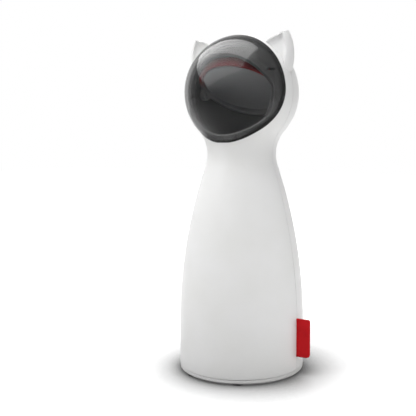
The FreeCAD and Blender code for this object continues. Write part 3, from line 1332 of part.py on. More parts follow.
def make_mirror_frame():
    """The red frame: a ring round the mirror, a flat back behind it and a lug at each side."""
    body = unit_body("mirror_frame")
    sphere = UNIT_RADIUS
    front = root(sphere * sphere - D.ring_front * D.ring_front)
    behind = root(sphere * sphere - BACK * BACK)
    bore = D.spindle_radius + D.running_play
    half = Drawing(body, "RingSketch", "XZ")
    half.outline([(RING_BORE, D.ring_front), (front, D.ring_front, sphere), (behind, BACK),
                  (bore, BACK), (bore, D.frame_back), (RING_BORE, D.frame_back)])
    half.turn("Ring")
    bar = Drawing(body, "LugSketch", "YZ")
    bar.circle(0, 0, D.lug_radius)
    bar.pad("Lugs", LUG_OUTER * 2, symmetric=True)
    reach = D.lug_radius + D.frame_wall / 4
    inside = root(RING_BORE * RING_BORE - reach * reach)
    gap = Drawing(body, "LugGapSketch", "XZ")
    gap.box(-inside, inside, -reach, D.frame_back)
    gap.pocket("LugGap", reach * 2, symmetric=True)
    pins = Drawing(body, "PinSketch", "YZ")
    pins.circle(0, 0, D.pivot_radius + D.running_play)
    pins.pocket("PinHoles", REACH * 2, symmetric=True)
    axle = Drawing(body, "AxleSketch", "XY", D.frame_back)
    axle.circle(CENTRES, 0, D.axle_radius + D.fit_play)
    axle.pocket("AxleHole", D.frame_wall * 3, symmetric=True)


def make_pivot_pins():
    """Two steel pins through the bowl into the lugs."""
    body = new_body("pivot_pins")
    inner = LUG_OUTER - D.frame_wall
    outer = BOWL_INSIDE + D.bowl_wall
    for side in (1, -1):
        pin = Drawing(body, "PinSketch", "YZ", inner * side)
        pin.circle(0, D.head_centre_z, D.pivot_radius)
        pin.pad("Pin", outer - inner, reverse=side < 0)


def make_mirror():
    """The round mirror and its carrier. Both sit a little slanted on the spindle, so that the
    spot of light runs in rings."""
    mirror = unit_body("mirror_disc")
    disc = Drawing(mirror, "DiscSketch", "XY")
    disc.circle(0, 0, (RING_BORE - D.mirror_gap))
    disc.sketch.AttachmentOffset = FreeCAD.Placement(
        Vector(0, 0, 0), FreeCAD.Rotation(Vector(1, 0, 0), D.wobble.value))
    tie(disc.sketch, "AttachmentOffset.Rotation.Angle", D.wobble)
    tie(disc.sketch, "AttachmentOffset.Base.z", D.mirror_at)
    disc.pad("Disc", D.mirror_thickness, symmetric=True)
    carrier = unit_body("mirror_carrier")
    plate = Drawing(carrier, "PlateSketch", "XY")
    plate.circle(0, 0, D.carrier_radius)
    plate.sketch.AttachmentOffset = FreeCAD.Placement(
        Vector(0, 0, 0), FreeCAD.Rotation(Vector(1, 0, 0), D.wobble.value))
    tie(plate.sketch, "AttachmentOffset.Rotation.Angle", D.wobble)
    tie(plate.sketch, "AttachmentOffset.Base.z",
        D.mirror_at + D.mirror_thickness / 2 / cosine(D.wobble))
    plate.pad("Plate", D.carrier_wall)
    base = D.mirror_at + D.mirror_thickness / 2 + D.carrier_wall / 2
    hub = Drawing(carrier, "HubSketch", "XY", base)
    hub.circle(0, 0, D.hub_radius)
    hub.pad("Hub", D.frame_back - D.gear_gap - base)
    bore = Drawing(carrier, "BoreSketch", "XY", base)
    bore.circle(0, 0, D.spindle_radius + D.fit_play)
    bore.pocket("Bore", D.frame_back, reverse=True)


def make_spindle():
    body = unit_body("mirror_spindle")
    base = D.mirror_at + D.mirror_thickness / 2 + D.carrier_wall / 2
    pin = Drawing(body, "PinSketch", "XY", base)
    pin.circle(0, 0, D.spindle_radius)
    pin.pad("Pin", COVER_TOP - base)


def gear_solid(teeth, bore, width, low, phase):
    """A spur gear with involute flanks, standing on the height low, a tooth at angle phase."""
    module, pressure = D.gear_module.value, math.radians(D.gear_pressure.value)
    pitch = teeth * module / 2
    base = pitch * math.cos(pressure)
    tip = pitch + D.addendum.value * module
    foot = pitch - D.dedendum.value * module
    half_tooth = math.pi / (2 * teeth) - D.tooth_play.value / pitch
    roll = math.tan(pressure) - pressure

    def flank(radius):
        """Half the angle of a tooth at a radius."""
        if radius <= base:
            return half_tooth + roll
        slant = math.acos(base / radius)
        return half_tooth + roll - (math.tan(slant) - slant)

    def spot(radius, angle):
        return Vector(radius * math.cos(angle), radius * math.sin(angle), low)

    start = max(foot, base)
    middle = (start + tip) / 2
    edges = []
    for tooth in range(teeth):
        centre = phase + 2 * math.pi * tooth / teeth
        following = centre + 2 * math.pi / teeth
        up = [spot(r, centre - flank(r)) for r in (start, middle, tip)]
        down = [spot(r, centre + flank(r)) for r in (tip, middle, start)]
        if foot < start:
            edges.append(Part.LineSegment(spot(foot, centre - flank(start)), up[0]))
        edges.append(Part.Arc(*up))
        edges.append(Part.LineSegment(up[2], down[0]))
        edges.append(Part.Arc(*down))
        if foot < start:
            edges.append(Part.LineSegment(down[2], spot(foot, centre + flank(start))))
        edges.append(Part.LineSegment(spot(foot, centre + flank(start)),
                                      spot(foot, following - flank(start))))
    outline = Part.Wire([edge.toShape() for edge in edges])
    blank = Part.Face(outline).extrude(Vector(0, 0, width))
    return blank.cut(Part.makeCylinder(bore, width, Vector(0, 0, low)))


def gear_feature(label, shape, x, y):
    feature = doc.addObject("Part::Feature", label)
    feature.Label = label
    feature.Shape = shape
    tilt = FreeCAD.Placement(Vector(0, 0, D.head_centre_z.value),
                             FreeCAD.Rotation(Vector(1, 0, 0), -D.stem_angle.value))
    feature.Placement = tilt.multiply(FreeCAD.Placement(Vector(x, y, 0), FreeCAD.Rotation()))
    PARTS.append(feature)


def make_gears():
    """The output gear on the spindle, the idler with its pinion, and the motor's pinion."""
    wheel, pinion = int(D.wheel_teeth.value), int(D.pinion_teeth.value)
    width = D.gear_width.value
    low, high = LOWER_GEAR.value, UPPER_GEAR.value
    to_idler = 0.0
    idler = Vector(CENTRES.value, 0, 0)
    motor = Vector(MOTOR_X.value, MOTOR_Y.value, 0)
    to_motor = math.atan2(motor.y - idler.y, motor.x - idler.x)
    half_step = math.pi / pinion
    output = gear_solid(wheel, D.spindle_radius.value + D.fit_play.value, width, low, to_idler)
    gear_feature("output_gear", output, 0, 0)
    bore = D.axle_radius.value + D.running_play.value
    large = gear_solid(wheel, bore, width, high, to_motor)
    small = gear_solid(pinion, bore, high - low, low, math.pi + half_step)
    gear_feature("idler_gear", large.fuse(small).removeSplitter(), idler.x, idler.y)
    shaft = D.axle_radius.value + D.fit_play.value
    small = gear_solid(pinion, shaft, width, high, to_motor + math.pi + half_step)
    gear_feature("motor_pinion", small, motor.x, motor.y)


def make_axles():
    axle = unit_body("idler_axle")
    pin = Drawing(axle, "PinSketch", "XY", D.frame_back)
    pin.circle(CENTRES, 0, D.axle_radius)
    pin.pad("Pin", COVER_TOP - D.frame_back)
    shaft = unit_body("motor_shaft")
    rod = Drawing(shaft, "RodSketch", "XY", UPPER_GEAR)
    rod.circle(MOTOR_X, MOTOR_Y, D.axle_radius)
    rod.pad("Rod", COVER_TOP + D.motor_length - UPPER_GEAR)


def cover_box(drawing, inset):
    """Outline of the gear cover, moved inwards by inset."""
    out = D.cover_reach
    left, right = -(out - inset), CENTRES + out - inset - D.cover_wall
    front, rear = MOTOR_Y - (D.cover_corner - inset), out - inset
    corner = D.cover_corner - inset
    drawing.outline([
        (left + corner, front), (right - corner, front, corner), (right, front + corner),
        (right, rear - corner, corner), (right - corner, rear), (left + corner, rear, corner),
        (left, rear - corner), (left, front + corner, corner)])
    return drawing


def make_gear_cover():
    body = unit_body("gear_cover")
    cover_box(Drawing(body, "CoverSketch", "XY", BACK), as_size(0)).pad("Cover", COVER_TOP - BACK)
    cover_box(Drawing(body, "InsideSketch", "XY", BACK), D.cover_wall).pocket(
        "Inside", COVER_INSIDE - BACK, reverse=True)
    holes = Drawing(body, "HoleSketch", "XY", BACK)
    holes.circle(0, 0, D.spindle_radius + D.running_play)
    holes.circle(CENTRES, 0, D.axle_radius + D.fit_play)
    holes.circle(MOTOR_X, MOTOR_Y, D.motor_boss + D.fit_play)
    holes.pocket("Holes", REACH, reverse=True)


def make_motor():
    """The motor stands on the gear cover, its bearing boss in the cover's hole."""
    can = unit_body("motor_can")
    case = Drawing(can, "CanSketch", "XY", COVER_TOP)
    case.circle(MOTOR_X, MOTOR_Y, D.motor_radius)
    case.pad("Can", D.motor_length)
    flats = Drawing(can, "FlatSketch", "XY", COVER_TOP)
    for side in (1, -1):
        near, far = D.motor_flat * side, (D.motor_radius + D.wall) * side
        low, high = (near, far) if side > 0 else (far, near)
        flats.box(MOTOR_X + low, MOTOR_X + high, MOTOR_Y - D.motor_radius - D.wall,
                  MOTOR_Y + D.motor_radius + D.wall)
    flats.pocket("Flats", D.motor_length, reverse=True)
    boss = Drawing(can, "BossSketch", "XY", COVER_TOP - D.cover_top)
    boss.circle(MOTOR_X, MOTOR_Y, D.motor_boss)
    boss.pad("Boss", D.cover_top)
    bore = Drawing(can, "BoreSketch", "XY", COVER_TOP - D.cover_top)
    bore.circle(MOTOR_X, MOTOR_Y, D.axle_radius + D.running_play)
    bore.pocket("Bore", D.cover_top + D.motor_length, reverse=True)
    cap = unit_body("motor_cap")
    end = Drawing(cap, "CapSketch", "XY", COVER_TOP + D.motor_length)
    end.circle(MOTOR_X, MOTOR_Y, D.motor_flat)
    end.pad("Cap", D.motor_cap)


def make_knob_stem():
    """A foot on the gear cover and a flat stem that reaches out through the slot."""
    body = unit_body("knob_stem")
    foot = Drawing(body, "FootSketch", "XY", COVER_TOP)
    foot.circle(0, KNOB_Y, D.stem_foot_radius)
    foot.pad("Foot", D.stem_foot_height)
    stem = Drawing(body, "StemSketch", "XY", COVER_TOP)
    half_x, half_y = D.stem_width / 2, D.stem_depth / 2
    stem.box(-half_x, half_x, KNOB_Y - half_y, KNOB_Y + half_y)
    stem.pad("Stem", D.head_radius + D.knob_gap + D.knob_height / 2 - COVER_TOP)


def round_off(body, name, at_y, top, radius, width):
    """Take away what stands outside a ball with its highest point at a place on the axis."""
    outside = Drawing(body, name + "Sketch", "XZ", -as_size(at_y))
    edge = top - radius + root(radius * radius - width * width)
    outside.outline([(0, top, -radius), (width, edge), (width, top + D.knob_height),
                     (0, top + D.knob_height)])
    outside.groove(name)


def make_range_knob():
    """The red knob: a thin skirt that follows the head, and a ribbed grip with a domed top."""
    body = unit_body("range_knob")
    inner = D.head_radius + D.knob_gap
    half_x, half_y = D.knob_width / 2, D.knob_length / 2
    front, back = KNOB_Y - half_y, KNOB_Y + half_y
    skirt = Drawing(body, "SkirtSketch", "XY", inner - D.skirt_height * 2)
    skirt.round_box(D.skirt_width / 2, front - D.skirt_front, back + D.skirt_back,
                    D.skirt_width / 4)
    skirt.pad("Skirt", D.skirt_height * 3)
    round_off(body, "SkirtTop", 0, inner + D.skirt_height, inner + D.skirt_height,
              D.knob_length + D.skirt_front)
    grip = Drawing(body, "GripSketch", "XY", inner)
    grip.round_box(half_x, front, back, D.knob_width / 4)
    grip.pad("Grip", D.knob_height, taper=D.knob_taper)
    ribs = Drawing(body, "RibSketch", "XY", inner + D.skirt_height * 1.5)
    step = D.knob_length / 5
    for row in (-1.5, -0.5, 0.5, 1.5):
        for side in (1, -1):
            ribs.circle(half_x * side, KNOB_Y + step * row, D.knob_rib)
    for end in (front, back):
        for row in (-0.5, 0.5):
            ribs.circle(step * row, end, D.knob_rib)
    ribs.pocket("Ribs", D.knob_height, reverse=True)
    round_off(body, "Dome", KNOB_Y, inner + D.knob_height, D.knob_dome, D.knob_length * 0.75)
    ball = body.newObject("PartDesign::SubtractiveSphere", "Underside")
    tie(ball, "Radius", inner)
    socket = Drawing(body, "SocketSketch", "XY", inner - D.skirt_height * 2)
    half_x, half_y = D.stem_width / 2 + D.fit_play, D.stem_depth / 2 + D.fit_play
    socket.box(-half_x, half_x, KNOB_Y - half_y, KNOB_Y + half_y)
    socket.pocket("Socket", D.skirt_height * 2 + D.knob_height / 2 + D.fit_play, reverse=True)


# ---------------------------------------------------------------- build, check and write
def build():
    make_front_shell()
    make_rear_shell()
    make_window_dome()
    make_window_bezel()
    make_inner_bowl()
    make_base_plate()
    make_rubber_feet()
    make_battery_door()
    make_battery_box()
    make_cells()
    make_contacts()
    make_side_tag()
    make_main_board()
    make_board_parts()
    make_board_screws()
    make_base_screws()
    make_switch()
    make_plunger()
    make_mode_button()
    make_usb()
    make_laser()
    make_mirror_frame()
    make_pivot_pins()
    make_mirror()
    make_spindle()
    make_gears()
    make_axles()
    make_gear_cover()
    make_motor()
    make_knob_stem()
    make_range_knob()
    doc.recompute()


def check():
    """Stop if a feature failed or a part came out empty or broken."""
    faults = [f"{item.Name}: {', '.join(item.State)}" for item in doc.Objects
              if "Invalid" in item.State or "Error" in item.State]
    for part in PARTS:
        if part.Shape.isNull() or not part.Shape.isValid() or not part.Shape.Solids:
            faults.append(f"{part.Label}: no valid solid")
    if faults:
        raise RuntimeError("; ".join(faults))


def write():
    os.makedirs("parts", exist_ok=True)
    for part in PARTS:
        part.Shape.exportStep(f"parts/{part.Label}.step")
        print(f"{part.Label:18s} {len(part.Shape.Solids)} solid(s), {part.Shape.Volume:10.1f} mm3")


build()
check()
write()
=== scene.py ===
# %% [markdown]
# # A cat laser toy, dressed for its portrait
#
# The toy's construction comes from another program: every shell, gear and screw is already there, at
# its real size, as a node of a fixed frame. This script gives each of them its finish, sews the fabric
# tag, prints the charging symbol, and sets up a small studio round the toy.
#
# We start by loading the frame and by writing down how big it is. Blender works in metres, and a toy is
# easier to think about in millimetres, so MM turns one into the other.

# %% Load the frame
import json
import math

import bmesh
import bpy
from mathutils import Matrix, Vector
from mathutils.bvhtree import BVHTree


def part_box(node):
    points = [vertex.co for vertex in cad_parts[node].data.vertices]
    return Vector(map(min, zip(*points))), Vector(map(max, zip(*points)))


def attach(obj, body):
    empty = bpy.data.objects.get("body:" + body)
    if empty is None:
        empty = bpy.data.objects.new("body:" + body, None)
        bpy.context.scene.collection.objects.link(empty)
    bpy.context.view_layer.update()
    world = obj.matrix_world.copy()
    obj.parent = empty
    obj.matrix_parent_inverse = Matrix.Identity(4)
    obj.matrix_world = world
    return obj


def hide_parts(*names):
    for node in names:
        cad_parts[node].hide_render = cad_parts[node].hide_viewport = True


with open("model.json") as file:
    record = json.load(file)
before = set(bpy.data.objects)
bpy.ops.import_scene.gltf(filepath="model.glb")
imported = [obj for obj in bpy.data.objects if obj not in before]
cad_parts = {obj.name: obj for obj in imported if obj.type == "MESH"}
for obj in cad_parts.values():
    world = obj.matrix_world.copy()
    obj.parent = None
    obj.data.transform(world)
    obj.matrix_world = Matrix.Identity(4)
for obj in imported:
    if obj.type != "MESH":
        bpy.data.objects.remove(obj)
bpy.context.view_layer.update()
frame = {"nodes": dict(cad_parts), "record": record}
MM = 0.001
nodes = frame["nodes"]

# %% [markdown]
# ## The camera
#
# The toy is seen a little from above and from its left front, with a lens somewhat longer than normal.
# A short lens close by would pinch the tall body towards its foot, and a long one keeps it even. The
# camera could be aimed at the toy's middle, but then the toy would stand in the middle of the picture.
# So it looks past the toy's side, and the sensor is shifted a little to place the toy right of the
# middle without leaning its upright lines.

# %% The camera
FOCAL_LENGTH = 58.8                         # in mm, as Blender counts lenses
SENSOR_WIDTH = 36.0
SIDEWAYS_SHIFT = -0.0809                    # in picture widths
CAMERA_PLACE = (0.2342, -0.3984, 0.1528)
TILT_DOWN = 5.29                            # in degrees
TURN_LEFT = 30.45

def make_camera():
    """The camera on its stand."""
    lens = bpy.data.cameras.new("Camera")
    lens.lens = FOCAL_LENGTH
    lens.sensor_width = SENSOR_WIDTH
    lens.shift_x = SIDEWAYS_SHIFT
    lens.clip_start = 10.0 * MM
    lens.clip_end = 20.0
    camera = bpy.data.objects.new("Camera", lens)
    camera.location = CAMERA_PLACE
    camera.rotation_euler = (math.radians(90.0 - TILT_DOWN), 0.0, math.radians(TURN_LEFT))
    bpy.context.scene.collection.objects.link(camera)
    bpy.context.scene.camera = camera
    return camera

camera = make_camera()
bpy.context.scene.view_settings.view_transform = "Standard"
print("camera at", [round(value, 3) for value in camera.location])

# %% [markdown]
# ## Adding nodes
#
# A finish is a tree of shader nodes. Nodes can be drawn by hand in the Shader Editor, but a script can
# be read, repeated and changed in one place. Written out in full it would be long, so we begin with two
# helpers. One fills a socket, by a link or by a value. The other adds a node and fills its inputs.

# %% Adding nodes
def feed(tree, socket, value):
    """Links another node's output to a socket, or sets the socket's own value."""
    if isinstance(value, bpy.types.NodeSocket):
        tree.links.new(value, socket)
    else:
        socket.default_value = value

def add_node(tree, kind, settings=None, **inputs):
    """A new node. Its inputs go by name, with _ for a space, or by number as n0 and n1."""
    made = tree.nodes.new("ShaderNode" + kind)
    for name, value in (settings or {}).items():
        setattr(made, name, value)
    for name, value in inputs.items():
        by_number = name[0] == "n" and name[1:].isdigit()
        key = int(name[1:]) if by_number else name.replace("_", " ")
        feed(tree, made.inputs[key], value)
    return made

print("first helpers ready")

# %% [markdown]
# ## Sums and mixes
#
# Most trees are made of the same few steps: a sum, a value moved from one range onto another, a mix of
# two colours. Each gets a short function that hands back the output to go on with, so that a finish
# reads like a formula.

# %% Sums and mixes
MIX_INPUTS = (0, 6, 7)        # a Mix node's factor, first colour and second colour
MIX_RESULT = 2

def maths(tree, operation, first, second=0.0, clamp=False):
    """The result of a Math node."""
    settings = {"operation": operation, "use_clamp": clamp}
    return add_node(tree, "Math", settings, n0=first, n1=second).outputs[0]

def remap(tree, value, span, onto=(0.0, 1.0)):
    """A value moved from one range onto another, and held inside it."""
    made = add_node(
        tree, "MapRange", Value=value,
        From_Min=span[0], From_Max=span[1], To_Min=onto[0], To_Max=onto[1])
    return made.outputs[0]

def blend_colour(tree, factor, first, second):
    """The first colour where the factor is 0, and the second where it is 1."""
    made = add_node(tree, "Mix", {"data_type": "RGBA"})
    for index, value in zip(MIX_INPUTS, (factor, first, second)):
        feed(tree, made.inputs[index], value)
    return made.outputs[MIX_RESULT]

print("sums and mixes ready")

# %% [markdown]
# ## Places, directions and noise
#
# A texture has to know where on the toy it is. UV coordinates would need every shell to be unwrapped.
# Object coordinates need nothing: they are the piece's own, so the grain stays where it is when the
# piece moves. The way a face looks is read from its normal. Nearly every uneven thing on the toy, from
# the grain to the dust, is a Noise texture at another scale.

# %% Places, directions and noise
def own_place(tree):
    """Each point's place on the piece."""
    return add_node(tree, "TexCoord").outputs["Object"]

def normal_part(tree, axis):
    """How far the surface faces along one axis, from -1 to 1."""
    normal = add_node(tree, "NewGeometry").outputs["Normal"]
    return add_node(tree, "SeparateXYZ", Vector=normal).outputs[axis]

def noise(tree, place, scale, detail):
    """The grey value of a Noise texture."""
    return add_node(tree, "TexNoise", Vector=place, Scale=scale, Detail=detail).outputs[0]

def swing(tree, texture, spread):
    """A texture's value moved so that it swings about nought, by that spread."""
    return maths(tree, "MULTIPLY", maths(tree, "SUBTRACT", texture, 0.5), spread)

print("places and noise ready")

# %% [markdown]
# ## Node groups
#
# Several finishes need the same effects. A node group packs an effect into one node with named inputs
# and outputs, as a function does in code. It is built once and then placed in any finish, each time
# with other values. The kind of each input follows from its default: one number, three or four.

# %% Node groups
SOCKET_KINDS = {3: "Vector", 4: "Color"}

def new_group(name, inputs, outputs):
    """An empty node group: its tree, and the sockets that it gets from and gives to a finish."""
    tree = bpy.data.node_groups.new(name, "ShaderNodeTree")
    for label, default in inputs.items():
        kind = SOCKET_KINDS[len(default)] if isinstance(default, tuple) else "Float"
        socket = tree.interface.new_socket(label, in_out="INPUT", socket_type="NodeSocket" + kind)
        socket.default_value = default
    for label, kind in outputs.items():
        tree.interface.new_socket(label, in_out="OUTPUT", socket_type="NodeSocket" + kind)
    given = tree.nodes.new("NodeGroupInput").outputs
    result = tree.nodes.new("NodeGroupOutput").inputs
    return tree, given, result

def use_group(tree, group, **inputs):
    """A group placed in a finish with its values set. Hands back its outputs."""
    placed = tree.nodes.new("ShaderNodeGroup")
    placed.node_tree = group
    for name, value in inputs.items():
        feed(tree, placed.inputs[name.replace("_", " ")], value)
    return placed.outputs

print("ready for groups")

# %% [markdown]
# ## Mould grain
#
# Moulded plastic takes over the fine texture of its mould. It breaks up the gloss: reflections are
# sharper in one spot and softer in the next. An image of real plastic could give that, but it would
# repeat and blur up close. Two noises, a fine one and a broad one, do it at any size. The group hands
# out a changing roughness, and the fine noise as a height for a Bump node.

# %% Mould grain
FINE_TO_BROAD = 14.0

def build_mould_grain():
    """The texture that a mould leaves on plastic."""
    tree, given, result = new_group(
        "Mould grain",
        {"Scale": 1500.0, "Roughness": 0.3, "Spread": 0.06},
        {"Roughness": "Float", "Height": "Float"})
    place = own_place(tree)
    fine = noise(tree, place, given["Scale"], 4.0)
    broad = noise(tree, place, maths(tree, "DIVIDE", given["Scale"], FINE_TO_BROAD), 2.0)
    swings = maths(
        tree, "ADD", swing(tree, broad, given["Spread"]), swing(tree, fine, given["Spread"]))
    tree.links.new(maths(tree, "ADD", given["Roughness"], swings, clamp=True), result["Roughness"])
    tree.links.new(fine, result["Height"])
    return tree

mould_grain = build_mould_grain()
print(mould_grain.name, [item.name for item in mould_grain.interface.items_tree])

# %% [markdown]
# ## Edge wear
#
# Hands and table tops rub a toy's outer edges first, and they turn paler and smoother. The edges could
# be painted by hand, but a Bevel node finds them by itself: it works out the normal that the surface
# would have with rounded edges. Where that normal leaves the true one, there is an edge. A noise makes
# the wear patchy, because nothing wears evenly.

# %% Edge wear
BEVEL_SAMPLES = 4

def rounded_normal(tree, radius):
    """The normal of the surface as if its edges were rounded by that radius."""
    return add_node(tree, "Bevel", {"samples": BEVEL_SAMPLES}, Radius=radius).outputs[0]

# On the band inside the window, this same edge mask paints a highlight.
def build_edge_wear():
    """A mask that is 1 on worn outer edges."""
    tree, given, result = new_group(
        "Edge wear", {"Radius": 0.6 * MM, "Scale": 300.0, "Amount": 0.5}, {"Mask": "Float"})
    rounded = rounded_normal(tree, given["Radius"])
    true = add_node(tree, "NewGeometry").outputs["Normal"]
    same = add_node(tree, "VectorMath", {"operation": "DOT_PRODUCT"}, n0=rounded, n1=true)
    edge = remap(tree, same.outputs["Value"], (0.98, 0.80))
    patchy = remap(tree, noise(tree, own_place(tree), given["Scale"], 5.0), (0.35, 0.65), (0.2, 1.0))
    worn = maths(tree, "MULTIPLY", edge, patchy)
    tree.links.new(maths(tree, "MULTIPLY", worn, given["Amount"], clamp=True), result["Mask"])
    return tree

edge_wear_and_highlight = build_edge_wear()
print(edge_wear_and_highlight.name, len(edge_wear_and_highlight.nodes), "nodes")

# %% [markdown]
# ## Settled dust
#
# Dust falls, so it lies on faces that look upwards and leaves the rest clean. The mask multiplies how
# far a face looks up by a fine noise of specks. Real grains would be far too many to model.

# %% Settled dust
def build_settled_dust():
    """A mask of the thin dust on faces that look upwards."""
    tree, given, result = new_group(
        "Settled dust", {"Scale": 900.0, "Amount": 0.1}, {"Mask": "Float"})
    upward = remap(tree, normal_part(tree, "Z"), (0.2, 1.0))
    specks = remap(tree, noise(tree, own_place(tree), given["Scale"], 6.0), (0.42, 0.72))
    lying = maths(tree, "MULTIPLY", upward, specks)
    tree.links.new(maths(tree, "MULTIPLY", lying, given["Amount"], clamp=True), result["Mask"])
    return tree

settled_dust = build_settled_dust()
print(settled_dust.name, len(settled_dust.nodes), "nodes")

# %% [markdown]
# ## Gap shade
#
# The seam between the shells is a quarter of a millimetre wide. White plastic throws so much light into
# it that it would nearly vanish. An Ambient Occlusion node measures how much of a point's surroundings
# is open within a short reach, so it is low inside narrow gaps. There shade is painted into the
# finish's colour, so that the seam and the rim round the button can be seen.

# %% Gap shade
AO_SAMPLES = 8

def build_gap_shade():
    """A mask of painted shade that is 1 deep inside narrow gaps."""
    tree, given, result = new_group(
        "Gap shade", {"Reach": 1.5 * MM, "Amount": 0.9}, {"Mask": "Float"})
    openness = add_node(
        tree, "AmbientOcclusion", {"samples": AO_SAMPLES}, Distance=given["Reach"]).outputs["AO"]
    narrow = remap(tree, openness, (0.05, 0.42), (1.0, 0.0))
    tree.links.new(maths(tree, "MULTIPLY", narrow, given["Amount"], clamp=True), result["Mask"])
    return tree

gap_shade = build_gap_shade()
print(gap_shade.name, len(gap_shade.nodes), "nodes")

# %% [markdown]
# ## Colour drift
#
# Over a big moulded part the colour is never quite the same: the plastic flowed, cooled and aged. One
# colour would look like a drawing. A soft noise moves it slowly towards a second colour.

# %% Colour drift
def build_colour_drift():
    """A colour that drifts towards a second one in big soft clouds."""
    tree, given, result = new_group(
        "Colour drift",
        {"Colour": (0.8, 0.8, 0.8, 1.0), "Drift to": (0.7, 0.7, 0.7, 1.0), "Scale": 30.0},
        {"Colour": "Color"})
    cloud = remap(tree, noise(tree, own_place(tree), given["Scale"], 2.0), (0.3, 0.7))
    drifting = blend_colour(tree, cloud, given["Colour"], given["Drift to"])
    tree.links.new(drifting, result["Colour"])
    return tree

colour_drift = build_colour_drift()
print(colour_drift.name, len(colour_drift.nodes), "nodes")

# %% [markdown]
# ## Tool lines
#
# Metal needs one more group. Drawn, rolled and turned parts carry fine parallel lines, and those lines
# stretch the highlights. A noise that is squeezed along one direction draws them. The direction is an
# input, so that each metal can have its own.

# %% Tool lines
def build_tool_lines():
    """Fine parallel lines: a changing roughness and a height."""
    tree, given, result = new_group(
        "Tool lines",
        {"Squeeze": (400.0, 400.0, 20000.0), "Roughness": 0.25, "Spread": 0.15},
        {"Roughness": "Float", "Height": "Float"})
    squeezed = add_node(
        tree, "VectorMath", {"operation": "MULTIPLY"}, n0=own_place(tree), n1=given["Squeeze"])
    lines = noise(tree, squeezed.outputs[0], 1.0, 4.0)
    change = swing(tree, lines, given["Spread"])
    tree.links.new(maths(tree, "ADD", given["Roughness"], change, clamp=True), result["Roughness"])
    tree.links.new(lines, result["Height"])
    return tree

tool_lines = build_tool_lines()
print(tool_lines.name, len(tool_lines.nodes), "nodes")

# %% [markdown]
# ## Starting a finish
#
# Every finish ends in one Principled BSDF, Blender's shader for nearly all real materials. Values that
# are the same all over, such as the strength of a coat, are set on the shader itself. Values that
# change over the surface come from nodes. The last step of most finishes is the same too: a height
# goes through a Bump node into Normal, over edges that a Bevel node rounds where asked, because no
# moulded or stamped edge is perfectly sharp.

# %% Starting a finish
def grey(value):
    """A neutral colour."""
    return (value, value, value, 1.0)

def start_material(name, **constants):
    """A material, its tree and its Principled BSDF, with the named sockets set."""
    material = bpy.data.materials.new(name)
    material.use_nodes = True
    tree = material.node_tree
    surface = tree.nodes["Principled BSDF"]
    for label, value in constants.items():
        surface.inputs[label.replace("_", " ")].default_value = value
    return material, tree, surface

def add_relief(tree, surface, height, strength, depth, edge=None):
    """Bumps the surface by a height, over edges rounded by the radius edge."""
    bump = add_node(tree, "Bump", Strength=strength, Distance=depth, Height=height)
    if edge:
        tree.links.new(rounded_normal(tree, edge), bump.inputs["Normal"])
    tree.links.new(bump.outputs[0], surface.inputs["Normal"])

print("a light grey:", grey(0.8))

# %% [markdown]
# ## One recipe for all plastics
#
# Every plastic on the toy is the same recipe with other values. The layers are the colour with its
# drift, then the worn edges, then the dust, and last the shade that is painted into narrow gaps. On the
# band inside the window the worn edges are a painted highlight. Worn spots are polished, so they are
# smoother.
# Dust is dull, so it makes them rougher.

# %% One recipe for all plastics
CLOUD_SCALE = 35.0
PATCH_SCALE = 400.0
SPECK_SCALE = 1100.0
DUST_COLOUR = (0.62, 0.60, 0.57, 1.0)
# painted shade: the dark colour painted into narrow gaps, and how far the gap mask reaches
GAP_SHADE_COLOUR = grey(0.02)
GAP_SHADE_REACH = 1.5 * MM
POLISHED_SHARE = 0.8          # of the roughness is left on a worn edge
DUST_DULLNESS = 0.6
GRAIN_DEPTH = 0.2 * MM

def plastic(name, colour, drift_to, roughness, worn, wear, dust, grain, spread, depth, edge,
            gap=0.92, **constants):
    """A moulded plastic, with shade painted into its narrow gaps."""
    material, tree, surface = start_material(name, **constants)
    drifting = use_group(
        tree, colour_drift, Colour=colour, Drift_to=drift_to, Scale=CLOUD_SCALE)["Colour"]
    edge_mask = use_group(tree, edge_wear_and_highlight, Radius=edge, Scale=PATCH_SCALE, Amount=wear)["Mask"]
    dusty = use_group(tree, settled_dust, Scale=SPECK_SCALE, Amount=dust)["Mask"]
    gap_shade_mask = use_group(tree, gap_shade, Reach=GAP_SHADE_REACH, Amount=gap)["Mask"]
    # the edge mask: wear on most plastics, a painted highlight on the band inside the window
    handled = blend_colour(tree, edge_mask, drifting, worn)
    dusted = blend_colour(tree, dusty, handled, DUST_COLOUR)
    # painted shade: narrow gaps are painted dark over the dusty colour
    coloured = blend_colour(tree, gap_shade_mask, dusted, GAP_SHADE_COLOUR)
    tree.links.new(coloured, surface.inputs["Base Color"])
    texture = use_group(tree, mould_grain, Scale=grain, Roughness=roughness, Spread=spread)
    kept = remap(tree, edge_mask, (0.0, 1.0), (1.0, POLISHED_SHARE))
    polished = maths(tree, "MULTIPLY", texture["Roughness"], kept)
    dulling = maths(tree, "MULTIPLY", dusty, DUST_DULLNESS)
    dulled = maths(tree, "ADD", polished, dulling, clamp=True)
    tree.links.new(dulled, surface.inputs["Roughness"])
    add_relief(tree, surface, texture["Height"], depth, GRAIN_DEPTH, edge)
    return material

print("plastic recipe ready")
